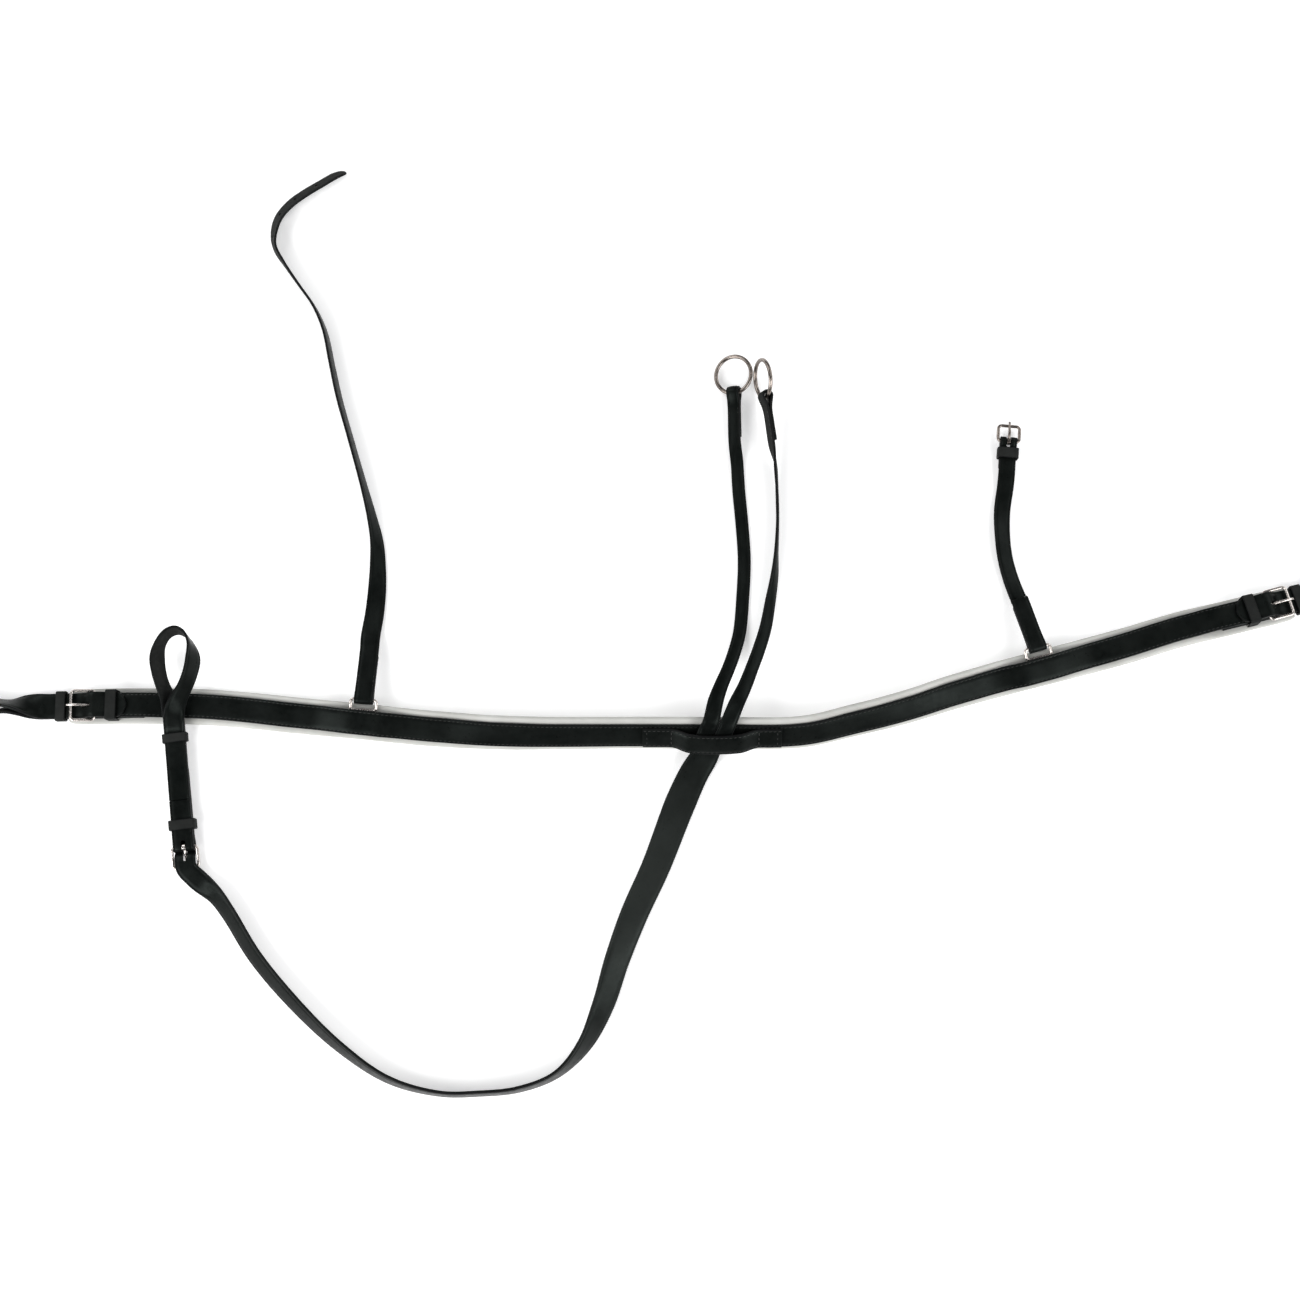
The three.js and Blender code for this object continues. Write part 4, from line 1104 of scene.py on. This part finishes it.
def rein_ring(side):
    matrix = basis(**REIN[side])
    radius = REIN_RING["radius"]
    points = [matrix @ Vector((RING_SET + radius * cos(a), radius * sin(a), 0)) for a in turns(72)]
    normal = matrix.to_3x3() @ Z
    name = f"rein_ring_{side}"
    ring = wire(points, REIN_RING["wire"], normal, looped=True, sides=20)
    # the ring gets the darker nickel copy: painted shade for its dark reflections
    mount_metal((f"{name}_wire", name, name), *ring, SHADED_NICKEL)


# ---- wither rings and neck straps ----

WITHER_PLAY = 0.5
WITHER_FOLD = WIRE_RADIUS + WITHER_PLAY + NECK["thick"] / 2


def wither_ring(side):
    ring = WITHER_RING
    loop = rounded_loop(ring["half"], ring["bar"], ring["bar"] + ring["depth"], 2.6,
                        lambda _: ring["height"])
    matrix = collar_frame(WITHER[side])
    points = [matrix @ Vector((-p.y, p.x, p.z)) for p in reversed(loop)]
    name = f"wither_ring_{side}"
    wires = wire(points, WIRE_RADIUS, matrix.to_3x3() @ Z, looped=True)
    mount_metal((f"{name}_wire", name, name), *wires)


def neck_fold(side, away, width):
    """Keys of the fold round the wither ring's far bar."""
    ring = WITHER_RING
    matrix = collar_frame(WITHER[side])
    hold = matrix @ Vector((0, ring["bar"] + ring["depth"], ring["height"]))
    frame_matrix = basis(hold, away, -(matrix.to_3x3() @ X))
    size = dict(width=width, thick=NECK["thick"])
    return placed(fold_keys(WITHER_FOLD, size, 52), frame_matrix)


NECK_LONG = [
    (-344, 106, 0, 3.4, 19.5), (-341, 128, 8, 0.8, 19), (-339, 152, 16, 0, 18.4),
    (-338.5, 178, 32), (-340, 203, 50), (-346, 230, 66), (-355, 262, 76), (-370, 312, 80),
    (-382, 352, 80), (-391, 390, 82), (-399, 424, 84), (-410, 449, 86), (-428, 475, 88),
    (-443, 497, 92), (-453, 514, 102), (-455, 530, 120), (-451, 548, 133), (-440, 563, 138),
    (-425, 575, 138), (-407, 586.5, 137), (-395, 594, 136), (-388, 598, 136, 0, 12),
    (-384, 600, 136, 0, 6),
]
NECK_SHORT = [
    (305, 143, 8, 1.8, 17.2), (298, 163, 12, 0.5, 17), (292.5, 186, 18, 0.2),
    (290.5, 210, 18, 0.3), (291.3, 235, 8, 0.5),
]
NECK_HOLES = dict(count=5, first=34, pitch=24, width=3.4)


def neck_strap_long():
    fold = neck_fold("left", Vector((0.06, 1, -0.17)), NECK["ring_width"])
    stations = stations_through([*fold, *aimed(NECK_LONG, NECK)])
    ends = np.cumsum([0, *((b.p - a.p).length for a, b in zip(stations[::-1], stations[-2::-1]))])
    holes = []
    for i in range(NECK_HOLES["count"]):
        place = NECK_HOLES["first"] + NECK_HOLES["pitch"] * i
        s = stations[len(stations) - 1 - int(np.searchsorted(ends, place))]
        half = NECK_HOLES["width"] / 2
        matrix = axes_matrix(s.across.cross(s.face), s.across, s.face, s.p)
        holes.append(slot_cutter(-half, half, 2 * half, -4, 4, matrix))
    name = "neck_strap_long"
    strap(name, name, name, stations, holes, dome=0.2)
    fold_stitching(name, stations_through(fold[:4]), NECK["thick"], NECK_SEAM, name)


NECK_HEEL = 7
NECK_FRAME = Matrix.Translation(Vector((299.5, 307, 0))) @ Matrix.Rotation(radians(85), 4, "Z")
NECK_TOP = NECK_HEEL - WITHER_FOLD + NECK["thick"] + GAP


def neck_strap_short():
    fold = neck_fold("right", Vector((-0.29, 1, -0.17)), 17.8)
    bottom = NECK_HEEL - WITHER_FOLD
    rows = [(-46, NECK_TOP - 3.1), (-33, NECK_TOP), (-14, NECK_TOP), (-6, NECK_TOP + 1.3)]
    rows += arc(WITHER_FOLD, 90, -90, 30, NECK_HEEL)
    rows += [(-6, bottom), (-16, bottom), (-28, bottom)]
    keys = [*fold, *aimed(NECK_SHORT, NECK), *placed(level_keys(rows, NECK), NECK_FRAME)]
    name = "neck_strap_short"
    strap(name, name, name, stations_through(keys), [chape_slot(NECK_FRAME, 2, 13)], dome=0.15)
    fold_stitching(name, stations_through(fold[:4]), NECK["thick"], NECK_SEAM, name)
    # the neck buckle gets the darker nickel copy: painted shade for its dark reflections
    buckle(NECK_BUCKLE, NECK_HEEL, NECK_FRAME,
           ("neck_buckle", "neck_buckle_frame", "neck_buckle_frame"),
           ("neck_tongue", "neck_buckle_tongue", "neck_buckle_tongue"), SHADED_NICKEL)
    keeper("neck_keeper_band", "neck_keeper", "neck_strap_short", NECK_FRAME, -12.5, (-9.1, 9.1),
           (2, 10.6), 11)


# ---- the loop end that the girth passes through ----

def girth_loop_strap():
    half = (LOOP["thick"] + GAP) / 2
    bottom = HEEL_HEIGHT - FOLD_RADIUS
    middle = bottom + half
    over, under = middle + half, middle - half
    chape = [(-45.9, bottom), (-30, bottom), (-15, bottom), (-6, bottom)]
    chape += arc(FOLD_RADIUS, -90, 90, 30, HEEL_HEIGHT)
    chape += [(-5, 14.4), (-12, 12.2), (-20, over), (-60, over), (-108, over + 0.15)]
    fixed = placed(level_keys(chape, LOOP), LOOP_FRAME)
    back = level_keys([(-108, under - 0.15), (-60, under), (-46.5, under)], LOOP)
    back = placed(back, LOOP_FRAME)
    level = LOOP_HEEL.z - middle
    rows = [
        (0, 0, 1.9, 0), (9, 12, 2.4, 12), (20, 34, 3.3, 45), (30, 50, 5.6, 75), (40, 60, 10, 90),
        (54, 62, 15, 90), (70, 62, 17.6, 90),
    ]
    lift = [(0, level - LOOP["thick"] / 2), (9, 11.8), (20, 12.8), (30, 11.8), (110, 11)]
    upper, tip, lower = loop_runs(rows, [(0, 0), (100, 3)], 28, lift, LOOP)
    start = LOOP_FRAME @ Vector((-116, 0, 0))
    start.z = 0
    ground = Matrix.Translation(start) @ Matrix.Rotation(radians(88), 4, "Z")
    loop = placed([*lower[::-1], *tip[::-1], *upper[::-1]], ground)
    stations = stations_through([*fixed, *loop, *back], step=3.5)
    strap("girth_loop", "girth_loop_strap", "martingale", stations, [chape_slot(LOOP_FRAME)],
          grain=-1)
    buckle(LOOP_BUCKLE, HEEL_HEIGHT, LOOP_FRAME, ("loop_buckle", "loop_buckle_frame", "martingale"),
           ("loop_tongue_pin", "loop_buckle_tongue", "loop_tongue"))
    keeper("loop_sewn_keeper", "loop_fixed_keeper", "martingale", LOOP_FRAME, -22, (-11.8, 11.2),
           (7.2, 17.4), 10)
    keeper("loop_running_keeper_band", "loop_running_keeper", "loop_running_keeper", LOOP_FRAME,
           -108, (-10.8, 10.8), (6.8, 13.7), 9)


# ---- assembly ----

bpy.context.scene.view_settings.view_transform = "Standard"
add_camera()
add_floor()
add_lights()
breast_padding()
breast_strap()
centre_bridge()
for end in ("left", "right"):
    girth_end(end)
    fork_leg(end)
    rein_ring(end)
    wither_ring(end)
body_strap()
neck_strap_long()
neck_strap_short()
girth_loop_strap()
